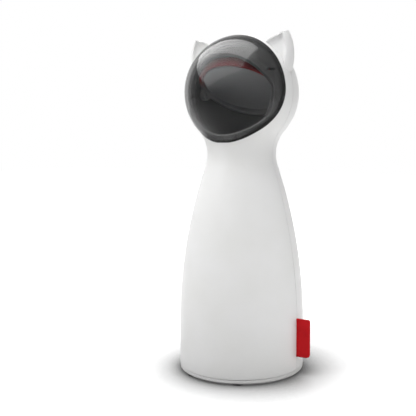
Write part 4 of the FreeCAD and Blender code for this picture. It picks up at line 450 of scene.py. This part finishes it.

# %% [markdown]
# ## The outer plastics
#
# The shells are satin white, and the base below them is a duller white. The band inside the window's
# edge is charcoal, and the edge mask paints its edges pale grey as a painted highlight. The knob on the
# back of the head is bright red, and the feet are soft rubber that holds dust. Each could have a tree
# of its own, but the one recipe keeps them of a kind. A low IOR keeps the white room round the toy from
# washing out the shells' outline. The base, the band and the feet get no painted gap shade, because
# what lies close to them would darken them all over.

# %% The outer plastics
finishes = {
    "shell_white": plastic(
        "Shell white", grey(0.83), (0.80, 0.80, 0.79, 1.0), 0.30, worn=grey(0.88), wear=0.4,
        dust=0.05, grain=2600.0, spread=0.08, depth=0.05, edge=0.4 * MM, IOR=1.1),
    "base_white": plastic(
        "Base white", grey(0.80), (0.76, 0.76, 0.745, 1.0), 0.46, worn=grey(0.86), wear=0.5,
        dust=0.08, grain=1800.0, spread=0.10, depth=0.12, edge=0.4 * MM, gap=0.0),
    # painted highlight: the edge mask paints the band's edges pale grey
    "bezel_charcoal": plastic(
        "Bezel charcoal", grey(0.10), grey(0.12), 0.28, worn=grey(0.60), wear=0.95,
        dust=0.06, grain=2200.0, spread=0.10, depth=0.08, edge=0.6 * MM, gap=0.0),
    "red_plastic": plastic(
        "Red plastic", (0.60, 0.008, 0.016, 1.0), (0.50, 0.005, 0.012, 1.0), 0.24,
        worn=(0.75, 0.05, 0.05, 1.0), wear=0.4,
        dust=0.05, grain=2400.0, spread=0.08, depth=0.05, edge=0.3 * MM),
    "foot_rubber": plastic(
        "Foot rubber", grey(0.06), grey(0.08), 0.78, worn=grey(0.14), wear=0.7,
        dust=0.25, grain=2500.0, spread=0.15, depth=0.3, edge=0.4 * MM, gap=0.0),
}
print("outer plastics:", sorted(finishes))

# %% [markdown]
# ## The inner plastics
#
# Behind the window sit a black bowl, the red ring that holds the mirror, and black moulded parts that
# should not draw the eye. The gears are acetal, a waxy cream plastic, so a little light goes into
# them before it comes back, which is what Subsurface does.

# %% The inner plastics
finishes.update({
    "bowl_black": plastic(
        "Bowl black", grey(0.035), grey(0.045), 0.42, worn=grey(0.10), wear=0.5,
        dust=0.05, grain=1600.0, spread=0.12, depth=0.15, edge=0.5 * MM),
    # painted shade: the ring's red is darker than the knob's red plastic, standing in for the shade on
    # it behind the window
    "frame_red": plastic(
        "Frame red", (0.30, 0.006, 0.012, 1.0), (0.24, 0.004, 0.009, 1.0), 0.34,
        worn=(0.45, 0.04, 0.04, 1.0), wear=0.3,
        dust=0.04, grain=2400.0, spread=0.08, depth=0.06, edge=0.3 * MM),
    "unit_black": plastic(
        "Unit black", grey(0.022), grey(0.032), 0.42, worn=grey(0.09), wear=0.5,
        dust=0.05, grain=1800.0, spread=0.12, depth=0.12, edge=0.3 * MM),
    "gear_acetal": plastic(
        "Gear acetal", (0.78, 0.765, 0.70, 1.0), (0.72, 0.70, 0.62, 1.0), 0.36,
        worn=grey(0.85), wear=0.5,
        dust=0.03, grain=2600.0, spread=0.10, depth=0.06, edge=0.1 * MM,
        Subsurface_Weight=0.15, Subsurface_Scale=1.0 * MM),
    "part_black": plastic(
        "Part black", grey(0.018), grey(0.028), 0.5, worn=grey(0.08), wear=0.5,
        dust=0.04, grain=3000.0, spread=0.15, depth=0.15, edge=0.2 * MM),
    "plunger_grey": plastic(
        "Plunger grey", grey(0.32), grey(0.27), 0.45, worn=grey(0.45), wear=0.5,
        dust=0.04, grain=3000.0, spread=0.12, depth=0.10, edge=0.2 * MM),
})
print("plastics:", len(finishes))

# %% [markdown]
# ## The ring's painted shade
#
# The mirror's ring is red, and its lower rim, which lies in shade behind the window, is painted grey as
# painted shade. It is one part, so two materials would need its faces to be sorted. It is simpler to
# pass from one colour into the other by height, in the finish itself: the Z of the Object coordinates
# is the height of the resting toy, and it stays with the ring when the mirror tilts.

# %% The ring's painted shade
RING_SHADE_GREY = grey(0.30)
RING_PASSAGE = 4.0 * MM

def paint_shade_below(material, low, high, colour):
    """Paints shade: passes a finish into another colour from a height downwards."""
    tree = material.node_tree
    base = tree.nodes["Principled BSDF"].inputs["Base Color"]
    height = add_node(tree, "SeparateXYZ", Vector=own_place(tree)).outputs["Z"]
    share = remap(tree, height, (low, high), (1.0, 0.0))
    tree.links.new(blend_colour(tree, share, base.links[0].from_socket, colour), base)

ring_low, ring_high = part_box("mirror_frame")
ring_middle = (ring_low.z + ring_high.z) * 0.5
# painted shade: below its middle the ring is painted grey
paint_shade_below(finishes["frame_red"], ring_middle, ring_middle + RING_PASSAGE, RING_SHADE_GREY)
print("ring turns grey below", round(ring_middle / MM, 1), "mm")

# %% [markdown]
# ## Metals
#
# Metals take their look from reflection, so the colour hardly drifts, and the tool lines do the work.
# On steel and on the brass barrel they run round the upright axis, as turning leaves them, and on the
# springy contacts from front to back, as rolling does. A real mirror is glass with silver behind it.
# One half metallic surface stands for both: it reflects, and keeps some grey of its own in a dim head.

# %% Metals
METAL_CLOUDS = 150.0
METAL_PATCHES = 800.0
METAL_EDGE = 0.2 * MM
METAL_ROUNDING = 0.15 * MM
LINE_DEPTH = 0.1 * MM

def metal(name, colour, tarnish, roughness, squeeze, spread=0.15, depth=0.1, wear=0.4, share=1.0):
    """A bare or plated metal with tool lines."""
    material, tree, surface = start_material(name, Metallic=share)
    drifting = use_group(
        tree, colour_drift, Colour=colour, Drift_to=tarnish, Scale=METAL_CLOUDS)["Colour"]
    edge_mask = use_group(
        tree, edge_wear_and_highlight, Radius=METAL_EDGE, Scale=METAL_PATCHES, Amount=wear)["Mask"]
    tree.links.new(blend_colour(tree, edge_mask, drifting, colour), surface.inputs["Base Color"])
    lines = use_group(tree, tool_lines, Squeeze=squeeze, Roughness=roughness, Spread=spread)
    tree.links.new(lines["Roughness"], surface.inputs["Roughness"])
    add_relief(tree, surface, lines["Height"], depth, LINE_DEPTH, METAL_ROUNDING)
    return material

finishes["steel"] = metal(
    "Steel", grey(0.62), (0.50, 0.49, 0.47, 1.0), 0.26, (700.0, 700.0, 16000.0))
finishes["contact_nickel"] = metal(
    "Contact nickel", (0.68, 0.65, 0.58, 1.0), (0.58, 0.54, 0.47, 1.0), 0.24,
    (12000.0, 600.0, 600.0))
finishes["laser_brass"] = metal(
    "Laser brass", (0.78, 0.58, 0.26, 1.0), (0.62, 0.42, 0.18, 1.0), 0.22,
    (500.0, 500.0, 24000.0))
finishes["mirror_silver"] = metal(
    "Mirror silver", (0.86, 0.87, 0.88, 1.0), (0.82, 0.83, 0.85, 1.0), 0.10,
    (900.0, 900.0, 900.0), spread=0.05, depth=0.004, wear=0.0, share=0.5)
print("metals and mirror ready")

# %% [markdown]
# ## The circuit board
#
# A board is woven glass fibre under green lacquer, with copper tracks that show as slightly lighter,
# raised green lines. Tracks could be modelled one by one, but nobody looks that closely at a board
# inside a toy. The joints of a Brick texture make good straight runs, and a fine noise is the weave.

# %% The circuit board
def board_finish():
    """Green lacquer over copper tracks and woven glass."""
    material, tree, surface = start_material("Board green", Coat_Weight=0.3, Coat_Roughness=0.15)
    place = own_place(tree)
    tracks = add_node(
        tree, "TexBrick", {"offset": 0.37, "squash": 0.6, "squash_frequency": 3},
        Vector=place, Scale=260.0, Mortar_Size=0.03, Mortar_Smooth=0.2,
        Color1=grey(0.0), Color2=grey(0.0), Mortar=grey(1.0)).outputs["Color"]
    glass = noise(tree, place, 2500.0, 4.0)
    lacquer = use_group(
        tree, colour_drift, Colour=(0.010, 0.12, 0.05, 1.0), Drift_to=(0.008, 0.09, 0.04, 1.0),
        Scale=90.0)["Colour"]
    track_green = (0.03, 0.22, 0.09, 1.0)
    coloured = blend_colour(tree, tracks, lacquer, track_green)
    tree.links.new(coloured, surface.inputs["Base Color"])
    tree.links.new(remap(tree, glass, (0.3, 0.7), (0.28, 0.42)), surface.inputs["Roughness"])
    raised = maths(tree, "ADD", maths(tree, "MULTIPLY", glass, 0.3), tracks)
    add_relief(tree, surface, raised, 0.15, 0.1 * MM)
    return material

finishes["board_green"] = board_finish()
print("board ready")

# %% [markdown]
# ## The cells
#
# A cell is a steel can in a shrunk plastic sleeve that leaves its two ends bare. The cells lie along Y,
# so the ends are the faces that look along Y, and the direction of the surface is enough to tell metal
# from sleeve.

# %% The cells
def cell_finish():
    """A dark glossy sleeve with bare metal ends."""
    material, tree, surface = start_material("Cell wrap", Coat_Weight=0.4, Coat_Roughness=0.1)
    bare = remap(tree, maths(tree, "ABSOLUTE", normal_part(tree, "Y")), (0.85, 0.95))
    sleeve = use_group(
        tree, colour_drift, Colour=grey(0.035), Drift_to=(0.05, 0.05, 0.055, 1.0),
        Scale=120.0)["Colour"]
    tree.links.new(blend_colour(tree, bare, sleeve, grey(0.6)), surface.inputs["Base Color"])
    tree.links.new(bare, surface.inputs["Metallic"])
    texture = use_group(tree, mould_grain, Scale=900.0, Roughness=0.28, Spread=0.08)
    tree.links.new(texture["Roughness"], surface.inputs["Roughness"])
    add_relief(tree, surface, texture["Height"], 0.05, GRAIN_DEPTH)
    return material

finishes["cell_wrap"] = cell_finish()
print("cells ready")

# %% [markdown]
# ## The smoked window
#
# The window is one thin dome of tinted plastic. Real refraction through so thin a shell hardly bends
# the view, but it would keep the studio lights out of the head. So the tint is made with Alpha: part of
# each ray goes straight through, and the rest meets a black, polished surface. A Layer Weight node
# raises Alpha where the dome is seen at a flat angle, as more plastic lies in the line of sight there.
# A Fresnel node could do that too, but it gives wrong values on the dome's inner side.

# %% The smoked window
SEE_THROUGH = 0.80            # of the light passes where the dome is seen straight on
RIM_TINT = 0.75               # is added to Alpha at the outline

def window_finish():
    """Smoke-tinted clear plastic, polished, with a gloss that changes very little."""
    material, tree, surface = start_material("Smoked window", IOR=1.4)
    tint = use_group(
        tree, colour_drift, Colour=grey(0.006), Drift_to=(0.009, 0.009, 0.010, 1.0), Scale=30.0)
    tree.links.new(tint["Colour"], surface.inputs["Base Color"])
    texture = use_group(tree, mould_grain, Scale=90.0, Roughness=0.03, Spread=0.02)
    tree.links.new(texture["Roughness"], surface.inputs["Roughness"])
    flat = add_node(tree, "LayerWeight", Blend=0.5).outputs["Facing"]
    rim = maths(tree, "MULTIPLY", maths(tree, "POWER", flat, 2.0), RIM_TINT)
    solid = maths(tree, "ADD", rim, 1.0 - SEE_THROUGH, clamp=True)
    tree.links.new(solid, surface.inputs["Alpha"])
    return material

finishes["smoked_window"] = window_finish()
print("window ready")

# %% [markdown]
# ## The laser's lens
#
# The lens is small, thick and clear. Alpha would make it look hollow, so here real refraction is
# right: Transmission makes glass of the surface, with a faint blue tint and a thin coat.

# %% The laser's lens
def lens_finish():
    """Clear coated glass."""
    material, tree, surface = start_material(
        "Lens glass", IOR=1.5, Transmission_Weight=1.0, Coat_Weight=0.2)
    tint = use_group(
        tree, colour_drift, Colour=(0.92, 0.96, 1.0, 1.0), Drift_to=(0.86, 0.92, 1.0, 1.0),
        Scale=300.0)
    tree.links.new(tint["Colour"], surface.inputs["Base Color"])
    texture = use_group(tree, mould_grain, Scale=2000.0, Roughness=0.03, Spread=0.03)
    tree.links.new(texture["Roughness"], surface.inputs["Roughness"])
    return material

finishes["lens_glass"] = lens_finish()
print("finishes:", len(finishes))

# %% [markdown]
# ## Giving every node its finish
#
# The record says which slot each node belongs to, so one loop dresses the whole toy. It would stop with
# an error at a slot without a finish, which is what we want: nothing may stay bare by accident. Only
# the tag is left out, because it is sewn afresh below.

# %% Dress the nodes
SEWN = {"side_tag"}

def dress(thing, material):
    """Makes a finish the object's only one."""
    thing.data.materials.clear()
    thing.data.materials.append(material)

for part in frame["record"]["subparts"]:
    if part["node"] not in SEWN:
        dress(nodes[part["node"]], finishes[part["material_slot"]])
print("dressed:", len(nodes) - len(SEWN), "nodes")

# %% [markdown]
# ## The tag's ribbon
#
# The tag is a red woven ribbon with ribs across it. Modelled threads would be millions of faces, and a
# noise would not look woven. Two Wave textures that cross each other are ribs and threads. Their sum
# deepens the colour between the threads, dulls it and bumps it. The ribbon is laid out by UV, so its
# weave follows the cloth round the fold.

# %% The tag's ribbon
RIBBON_RED = (0.72, 0.010, 0.016, 1.0)
RIBBON_FADED = (0.60, 0.007, 0.012, 1.0)
RIBBON_DEEP = (0.34, 0.003, 0.006, 1.0)

def stripes(tree, place, direction, scale, distortion):
    """The grey value of a Wave texture: parallel stripes that are a little uneven."""
    waves = add_node(
        tree, "TexWave", {"bands_direction": direction},
        Vector=place, Scale=scale, Distortion=distortion, Detail=2.0, Detail_Scale=4.0)
    return waves.outputs[1]

def ribbon_finish():
    """Red ribbon with ribs, fine threads and a slight sheen."""
    material, tree, surface = start_material(
        "Tag ribbon", Sheen_Weight=0.08, Sheen_Roughness=0.4, Specular_IOR_Level=0.15)
    place = add_node(tree, "TexCoord").outputs["UV"]
    ribs = stripes(tree, place, "Y", 26.0, 0.6)
    threads = stripes(tree, place, "X", 34.0, 0.5)
    weave = maths(
        tree, "ADD", maths(tree, "MULTIPLY", ribs, 0.6), maths(tree, "MULTIPLY", threads, 0.4))
    drifting = use_group(
        tree, colour_drift, Colour=RIBBON_RED, Drift_to=RIBBON_FADED, Scale=120.0)["Colour"]
    raised = remap(tree, weave, (0.2, 0.8), (0.45, 1.0))
    coloured = blend_colour(tree, raised, RIBBON_DEEP, drifting)
    tree.links.new(coloured, surface.inputs["Base Color"])
    tree.links.new(remap(tree, weave, (0.0, 1.0), (0.85, 0.62)), surface.inputs["Roughness"])
    add_relief(tree, surface, weave, 0.6, 0.1 * MM)
    return material

tag_ribbon = ribbon_finish()
print("ribbon:", tag_ribbon.name, len(tag_ribbon.node_tree.nodes), "nodes")

# %% [markdown]
# ## The tag's shape
#
# The ribbon is folded once, and its two ends are clamped between the shells. A cloth simulation could
# fold it, but so short and stiff a ribbon hardly sags, and a drawn line gives the same shape on every
# run. In plan the line runs out along one layer, round the fold and back. Slow waves let the layers bow
# as soft cloth does, and the ribbon loses a little length at its upper and lower corners, where the
# fold is rounded off.

# %% The tag's shape
RIBBON_THICKNESS = 0.35 * MM
LOWER_CORNER = 2.6 * MM       # the radius of the fold's lower corner
UPPER_CORNER = 0.8 * MM
LAYER_ROOM = 0.55             # of the thickness is left outside each layer
FOLD_FULLNESS = 1.12          # above 1 the fold is blunt
FOLD_POWER = 0.8
LAYER_CLOSING = 0.25          # by how much the layers close towards the clamped ends
BOW_HEIGHT = 0.22
BOW_WAVES = 3.0
BOW_START = 0.7
ALMOST = 0.999                # keeps the ends a hair short of a half turn

def corner_loss(height, radius):
    """How much shorter a rounded corner leaves the ribbon at that height from its edge."""
    if height >= radius:
        return 0.0
    return radius - math.sqrt(radius ** 2 - (radius - height) ** 2)

def tag_line(share, rise):
    """A point of the ribbon in plan: share 0 to 1 runs out, round the fold and back."""
    low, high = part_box("side_tag")
    tall = high.z - low.z
    lost_below = corner_loss(rise * tall, LOWER_CORNER)
    lost_above = corner_loss((1.0 - rise) * tall, UPPER_CORNER)
    reach = high.x - low.x - RIBBON_THICKNESS - (lost_below + lost_above)
    half = (high.y - low.y) * 0.5 - RIBBON_THICKNESS * LAYER_ROOM
    turn = math.pi * (share - 0.5)
    out = math.cos(turn * ALMOST)
    side = math.sin(turn)
    wave = math.sin(BOW_WAVES * math.pi * rise + BOW_START)
    bow = BOW_HEIGHT * wave * (1.0 - abs(side)) * half
    x = low.x + RIBBON_THICKNESS * 0.5 + reach * min(1.0, out * FOLD_FULLNESS) ** FOLD_POWER
    y = (low.y + high.y) * 0.5 + half * side * (1.0 - LAYER_CLOSING * (1.0 - out)) + bow
    return x, y

print("the fold reaches x in mm:", round(tag_line(0.5, 0.5)[0] / MM, 1))

# %% [markdown]
# ## Sewing the tag
#
# The line is moved up in steps, and each step is a row of points. A curve with an Extrude value would
# do for a plain ribbon, but here every row has its own bow and its own length. Faces join the rows, a
# UV layer tells each corner its place on the flat ribbon, and a Solidify modifier gives the sheet its
# thickness.

# %% Sewing the tag
STEPS_ALONG = 44
STEPS_UP = 36

def make_tag():
    """The folded ribbon."""
    low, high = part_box("side_tag")
    mesh = bpy.data.meshes.new("fabric_tag")
    build = bmesh.new()
    uv = build.loops.layers.uv.new("UVMap")
    rows = []
    for up in range(STEPS_UP + 1):
        rise = up / STEPS_UP
        z = low.z + (high.z - low.z) * rise
        rows.append([build.verts.new((*tag_line(along / STEPS_ALONG, rise), z))
                     for along in range(STEPS_ALONG + 1)])
    for up in range(STEPS_UP):
        for along in range(STEPS_ALONG):
            corners = ((up, along), (up, along + 1), (up + 1, along + 1), (up + 1, along))
            face = build.faces.new([rows[u][a] for u, a in corners])
            face.smooth = True
            for loop, (u, a) in zip(face.loops, corners):
                loop[uv].uv = (a / STEPS_ALONG, u / STEPS_UP)
    build.to_mesh(mesh)
    build.free()
    tag = bpy.data.objects.new("fabric_tag", mesh)
    bpy.context.scene.collection.objects.link(tag)
    thick = tag.modifiers.new("Thickness", "SOLIDIFY")
    thick.thickness = RIBBON_THICKNESS
    thick.offset = 0.0
    dress(tag, tag_ribbon)
    return tag

tag = make_tag()
print("tag faces:", len(tag.data.polygons))

# %% [markdown]
# ## Clamping the tag
#
# The construction has a plain plate where the tag is. Now the sewn tag stands for it and rides on the
# body, as the shells that clamp it do. A sheet is cut before it is folded, so its flat length is
# printed too: the length of the line from one clamped end to the other.

# %% Clamping the tag
LENGTH_STEPS = 200

def flat_length():
    """The ribbon's length from end to end, in metres."""
    points = [Vector(tag_line(step / LENGTH_STEPS, 0.5)) for step in range(LENGTH_STEPS + 1)]
    return sum((after - before).length for before, after in zip(points, points[1:]))

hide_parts("side_tag")
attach(tag, "body")
print("ribbon length in mm:", round(flat_length() / MM, 1))

# %% [markdown]
# ## The charging symbol's outline
#
# Over the charging port the rear shell carries a small outlined flash, printed in dark grey. A print
# could be a mask in the shell's finish, but a fine line would need its own texture. Seven corners draw
# the flash, and a second outline just inside the first gives the line its width. Each inner corner lies
# on the line that halves the angle there.

# %% The charging symbol's outline
SYMBOL_FOOT = 21.0 * MM
SYMBOL_HEIGHT = 8.0 * MM
SYMBOL_LINE = 0.42 * MM
SYMBOL_CORNERS = (
    (0.08, 1.0), (0.30, 1.0), (0.16, 0.60), (0.34, 0.60), (-0.14, 0.0), (-0.02, 0.44), (-0.24, 0.44))
SHARPEST_LEAN = 0.35          # keeps the inner corner of a sharp tip from shooting away

def left_of(direction):
    """The direction at right angles to one in the plane, on its left."""
    return Vector((-direction.y, direction.x))

def inset(corners, distance):
    """The corners of a closed outline moved inwards by a distance."""
    moved = []
    for index, corner in enumerate(corners):
        before = (corner - corners[index - 1]).normalized()
        after = (corners[(index + 1) % len(corners)] - corner).normalized()
        across = (left_of(before) + left_of(after)).normalized()
        lean = max(SHARPEST_LEAN, across.dot(left_of(before)))
        moved.append(corner + across * (-distance / lean))
    return moved

symbol_outline = [
    Vector((x * SYMBOL_HEIGHT, SYMBOL_FOOT + z * SYMBOL_HEIGHT)) for x, z in SYMBOL_CORNERS]
print("symbol corners:", len(symbol_outline))

# %% [markdown]
# ## Finding the wall
#
# The drawing is flat, but the shell's wall is curved both ways. A Shrinkwrap modifier could press the
# print onto it. A ray shot from behind the toy at each point says exactly where the wall is and which
# way it faces there, so the print can lie a hair proud of the plastic. A search tree of the wall's
# faces makes the rays quick.

# %% Finding the wall
BEHIND_THE_TOY = 0.2
INK_THICKNESS = 0.03 * MM

def shell_surface(node):
    """A search tree of a node's faces, for rays."""
    mesh = nodes[node].data
    corners = [vertex.co.copy() for vertex in mesh.vertices]
    return BVHTree.FromPolygons(corners, [tuple(face.vertices) for face in mesh.polygons])

def on_wall(wall, flat):
    """The point of the wall that lies behind a point of the flat drawing."""
    start = Vector((flat.x, BEHIND_THE_TOY, flat.y))
    hit = wall.ray_cast(start, Vector((0.0, -1.0, 0.0)))
    return hit[0] + hit[1] * INK_THICKNESS

rear_wall = shell_surface("rear_shell")
symbol_foot = on_wall(rear_wall, Vector((0.0, SYMBOL_FOOT)))
print("the symbol's foot is at y in mm:", round(symbol_foot.y / MM, 1))

# %% [markdown]
# ## Printing the symbol
#
# A print has hardly any thickness, but it has an edge and its own gloss. So it is a mesh of its own, a
# band of faces between the two outlines, which can be seen and exported like any other piece. Each side
# of the drawing is cut into short steps, so that the band bends with the wall.

# %% Printing the symbol
STEPS_PER_SIDE = 6

def along_outline(corners):
    """Points along each side of a closed outline, in short steps."""
    return [corner.lerp(corners[(index + 1) % len(corners)], step / STEPS_PER_SIDE)
            for index, corner in enumerate(corners) for step in range(STEPS_PER_SIDE)]

def make_symbol(outline, wall):
    """The printed flash, as a thin band that follows the wall."""
    build = bmesh.new()
    pairs = []
    for outer, inner in zip(along_outline(outline), along_outline(inset(outline, SYMBOL_LINE))):
        pairs.append([build.verts.new(on_wall(wall, flat)) for flat in (outer, inner)])
    for index, (outer, inside) in enumerate(pairs):
        next_outer, next_inside = pairs[(index + 1) % len(pairs)]
        build.faces.new((outer, next_outer, next_inside, inside))
    bmesh.ops.recalc_face_normals(build, faces=build.faces)
    mesh = bpy.data.meshes.new("charging_symbol")
    build.to_mesh(mesh)
    build.free()
    symbol = bpy.data.objects.new("charging_symbol", mesh)
    bpy.context.scene.collection.objects.link(symbol)
    ink = symbol.modifiers.new("Ink", "SOLIDIFY")
    ink.thickness = INK_THICKNESS
    ink.offset = 0.0
    return symbol

symbol = make_symbol(symbol_outline, rear_wall)
dress(symbol, plastic(
    "Symbol ink", grey(0.13), grey(0.16), 0.5, worn=grey(0.3), wear=0.3,
    dust=0.02, grain=3000.0, spread=0.1, depth=0.05, edge=0.1 * MM))
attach(symbol, "body")
print("symbol faces:", len(symbol.data.polygons))

# %% [markdown]
# ## A white room
#
# White products are lit so that their edges stay a little darker than the paper behind them. More light
# would turn the paper white, but the toy with it. So the paper and the room are white by themselves
# wherever they are seen: by the camera, in reflections and through clear plastic. A Light Path node
# tells those rays from the ones that light the toy, for which the room is nearly dark.

# %% A white room
ROOM_GLOW = 0.10              # the share of the room's white that lights the toy

def seen_directly(tree):
    """1 for rays of the camera, of reflections and through clear plastic, and 0 for the rest."""
    seen = add_node(tree, "LightPath").outputs
    mirrored = maths(tree, "MAXIMUM", seen["Is Glossy Ray"], seen["Is Transmission Ray"])
    return maths(tree, "MAXIMUM", seen["Is Camera Ray"], mirrored)

def studio_world():
    """A white room that throws little light."""
    world = bpy.data.worlds.new("Studio")
    bpy.context.scene.world = world
    world.use_nodes = True
    tree = world.node_tree
    background = tree.nodes["Background"]
    background.inputs["Color"].default_value = grey(1.0)
    strength = maths(tree, "MAXIMUM", seen_directly(tree), ROOM_GLOW)
    tree.links.new(strength, background.inputs["Strength"])
    return world

print("world:", studio_world().name)

# %% [markdown]
# ## White paper
#
# The toy stands on white paper that runs into the white room. Close to the toy the paper must keep a
# soft shadow, and farther away it must fade into the room with no edge. Lamps alone would give the one
# or the other. An Ambient Occlusion node sees how much of the room is hidden by the toy and shades the
# paper by it. The paper's own white, for the camera and reflections, grows with the distance.

# %% White paper
PAPER_WHITE = (0.79, 0.81)
SHADOW_REACH = 0.10
SHADOW_SAMPLES = 12
SHADOW_SPAN = (0.55, 0.97)    # openness at the darkest and the lightest of the shadow
SHADOW_DARKEST = 0.14
FADE_SPAN = (0.06, 0.28)      # metres from the toy's middle
FADE_START = 0.55

def paper_finish():
    """White paper with fine fibres."""
    material, tree, surface = start_material("Paper", Roughness=0.9, Specular_IOR_Level=0.0)
    place = own_place(tree)
    openness = add_node(
        tree, "AmbientOcclusion", {"samples": SHADOW_SAMPLES}, Distance=SHADOW_REACH).outputs["AO"]
    shade = remap(tree, openness, SHADOW_SPAN, (SHADOW_DARKEST, 1.0))
    fibres = remap(tree, noise(tree, place, 60.0, 4.0), (0.3, 0.7), PAPER_WHITE)
    shaded = maths(tree, "MULTIPLY", fibres, shade)
    colour = add_node(tree, "CombineColor", Red=shaded, Green=shaded, Blue=shaded).outputs[0]
    tree.links.new(colour, surface.inputs["Base Color"])
    away = add_node(tree, "VectorMath", {"operation": "LENGTH"}, n0=place).outputs["Value"]
    fade = remap(tree, away, FADE_SPAN, (FADE_START, 1.0))
    lift = maths(tree, "MULTIPLY", seen_directly(tree), fade)
    surface.inputs["Emission Color"].default_value = grey(1.0)
    tree.links.new(maths(tree, "MULTIPLY", lift, shade), surface.inputs["Emission Strength"])
    return material

paper = paper_finish()
print("paper:", len(paper.node_tree.nodes), "nodes")

# %% [markdown]
# ## The floor
#
# The floor is one flat sheet, so wide that its edge is never seen.

# %% The floor
FLOOR_REACH = 3.0

def paper_floor():
    """A wide sheet of white paper."""
    build = bmesh.new()
    bmesh.ops.create_grid(build, x_segments=8, y_segments=8, size=FLOOR_REACH)
    mesh = bpy.data.meshes.new("paper_floor")
    build.to_mesh(mesh)
    build.free()
    floor = bpy.data.objects.new("paper_floor", mesh)
    bpy.context.scene.collection.objects.link(floor)
    dress(floor, paper)
    return floor

print("floor:", paper_floor().name)

# %% [markdown]
# ## The lamps
#
# A big soft lamp at the upper left gives the toy its shape and the window its highlight. One lamp fills
# from above, two small cards light the foot from the right, and one lamp lights the back. Those four
# are kept out of reflections, so that the gloss shows one lamp and not a crowd. Smoked plastic mirrors
# little, so a glare in front of the big lamp adds to reflections alone. A lamp could be placed by its
# middle and three angles, but one corner and two edges are easier to picture. It shines against their
# cross product. Its brightness is that of its surface, and 1 is as bright as the white room.

# %% The lamps
def softbox(name, corner, along, up, brightness, mirrored=True, shining=True):
    """A rectangular lamp. It may be left out of reflections, or light nothing but them."""
    across, rise = Vector(along), Vector(up)
    lamp = bpy.data.lights.new(name, "AREA")
    lamp.shape = "RECTANGLE"
    lamp.size = across.length
    lamp.size_y = rise.length
    lamp.energy = brightness * math.pi * lamp.size * lamp.size_y
    back = across.cross(rise).normalized()
    side = across.normalized()
    holder = bpy.data.objects.new(name, lamp)
    turn = Matrix((side, back.cross(side), back)).transposed().to_4x4()
    holder.matrix_world = Matrix.Translation(Vector(corner) + across * 0.5 + rise * 0.5) @ turn
    holder.visible_camera = False
    holder.visible_glossy = mirrored
    holder.visible_diffuse = shining
    bpy.context.scene.collection.objects.link(holder)

softbox("Key softbox", (-0.39, -0.495, 0.2675), (0.62, 0.0, 0.325), (-0.07, 0.72, 0.24), 2.5)
softbox("Key glare", (-0.38, -0.485, 0.2625), (0.61, 0.0, 0.32), (-0.07, 0.71, 0.236), 4.0,
        shining=False)
softbox("Top fill", (-0.083, -1.012, 1.091), (0.675, 0.187, 0.0), (-0.162, 0.584, 0.350), 2.2,
        mirrored=False)
softbox("Low card", (0.357, -0.217, 0.010), (0.060, 0.232, 0.0), (0.0, 0.0, 0.120), 2.3,
        mirrored=False)
softbox("Side card", (0.418, -0.009, 0.010), (-0.064, 0.231, 0.0), (0.0, 0.0, 0.120), 3.4,
        mirrored=False)
softbox("Back softbox", (-0.168, 1.173, 0.741), (-0.776, -0.456, 0.0), (0.251, -0.427, 0.495), 2.6,
        mirrored=False)
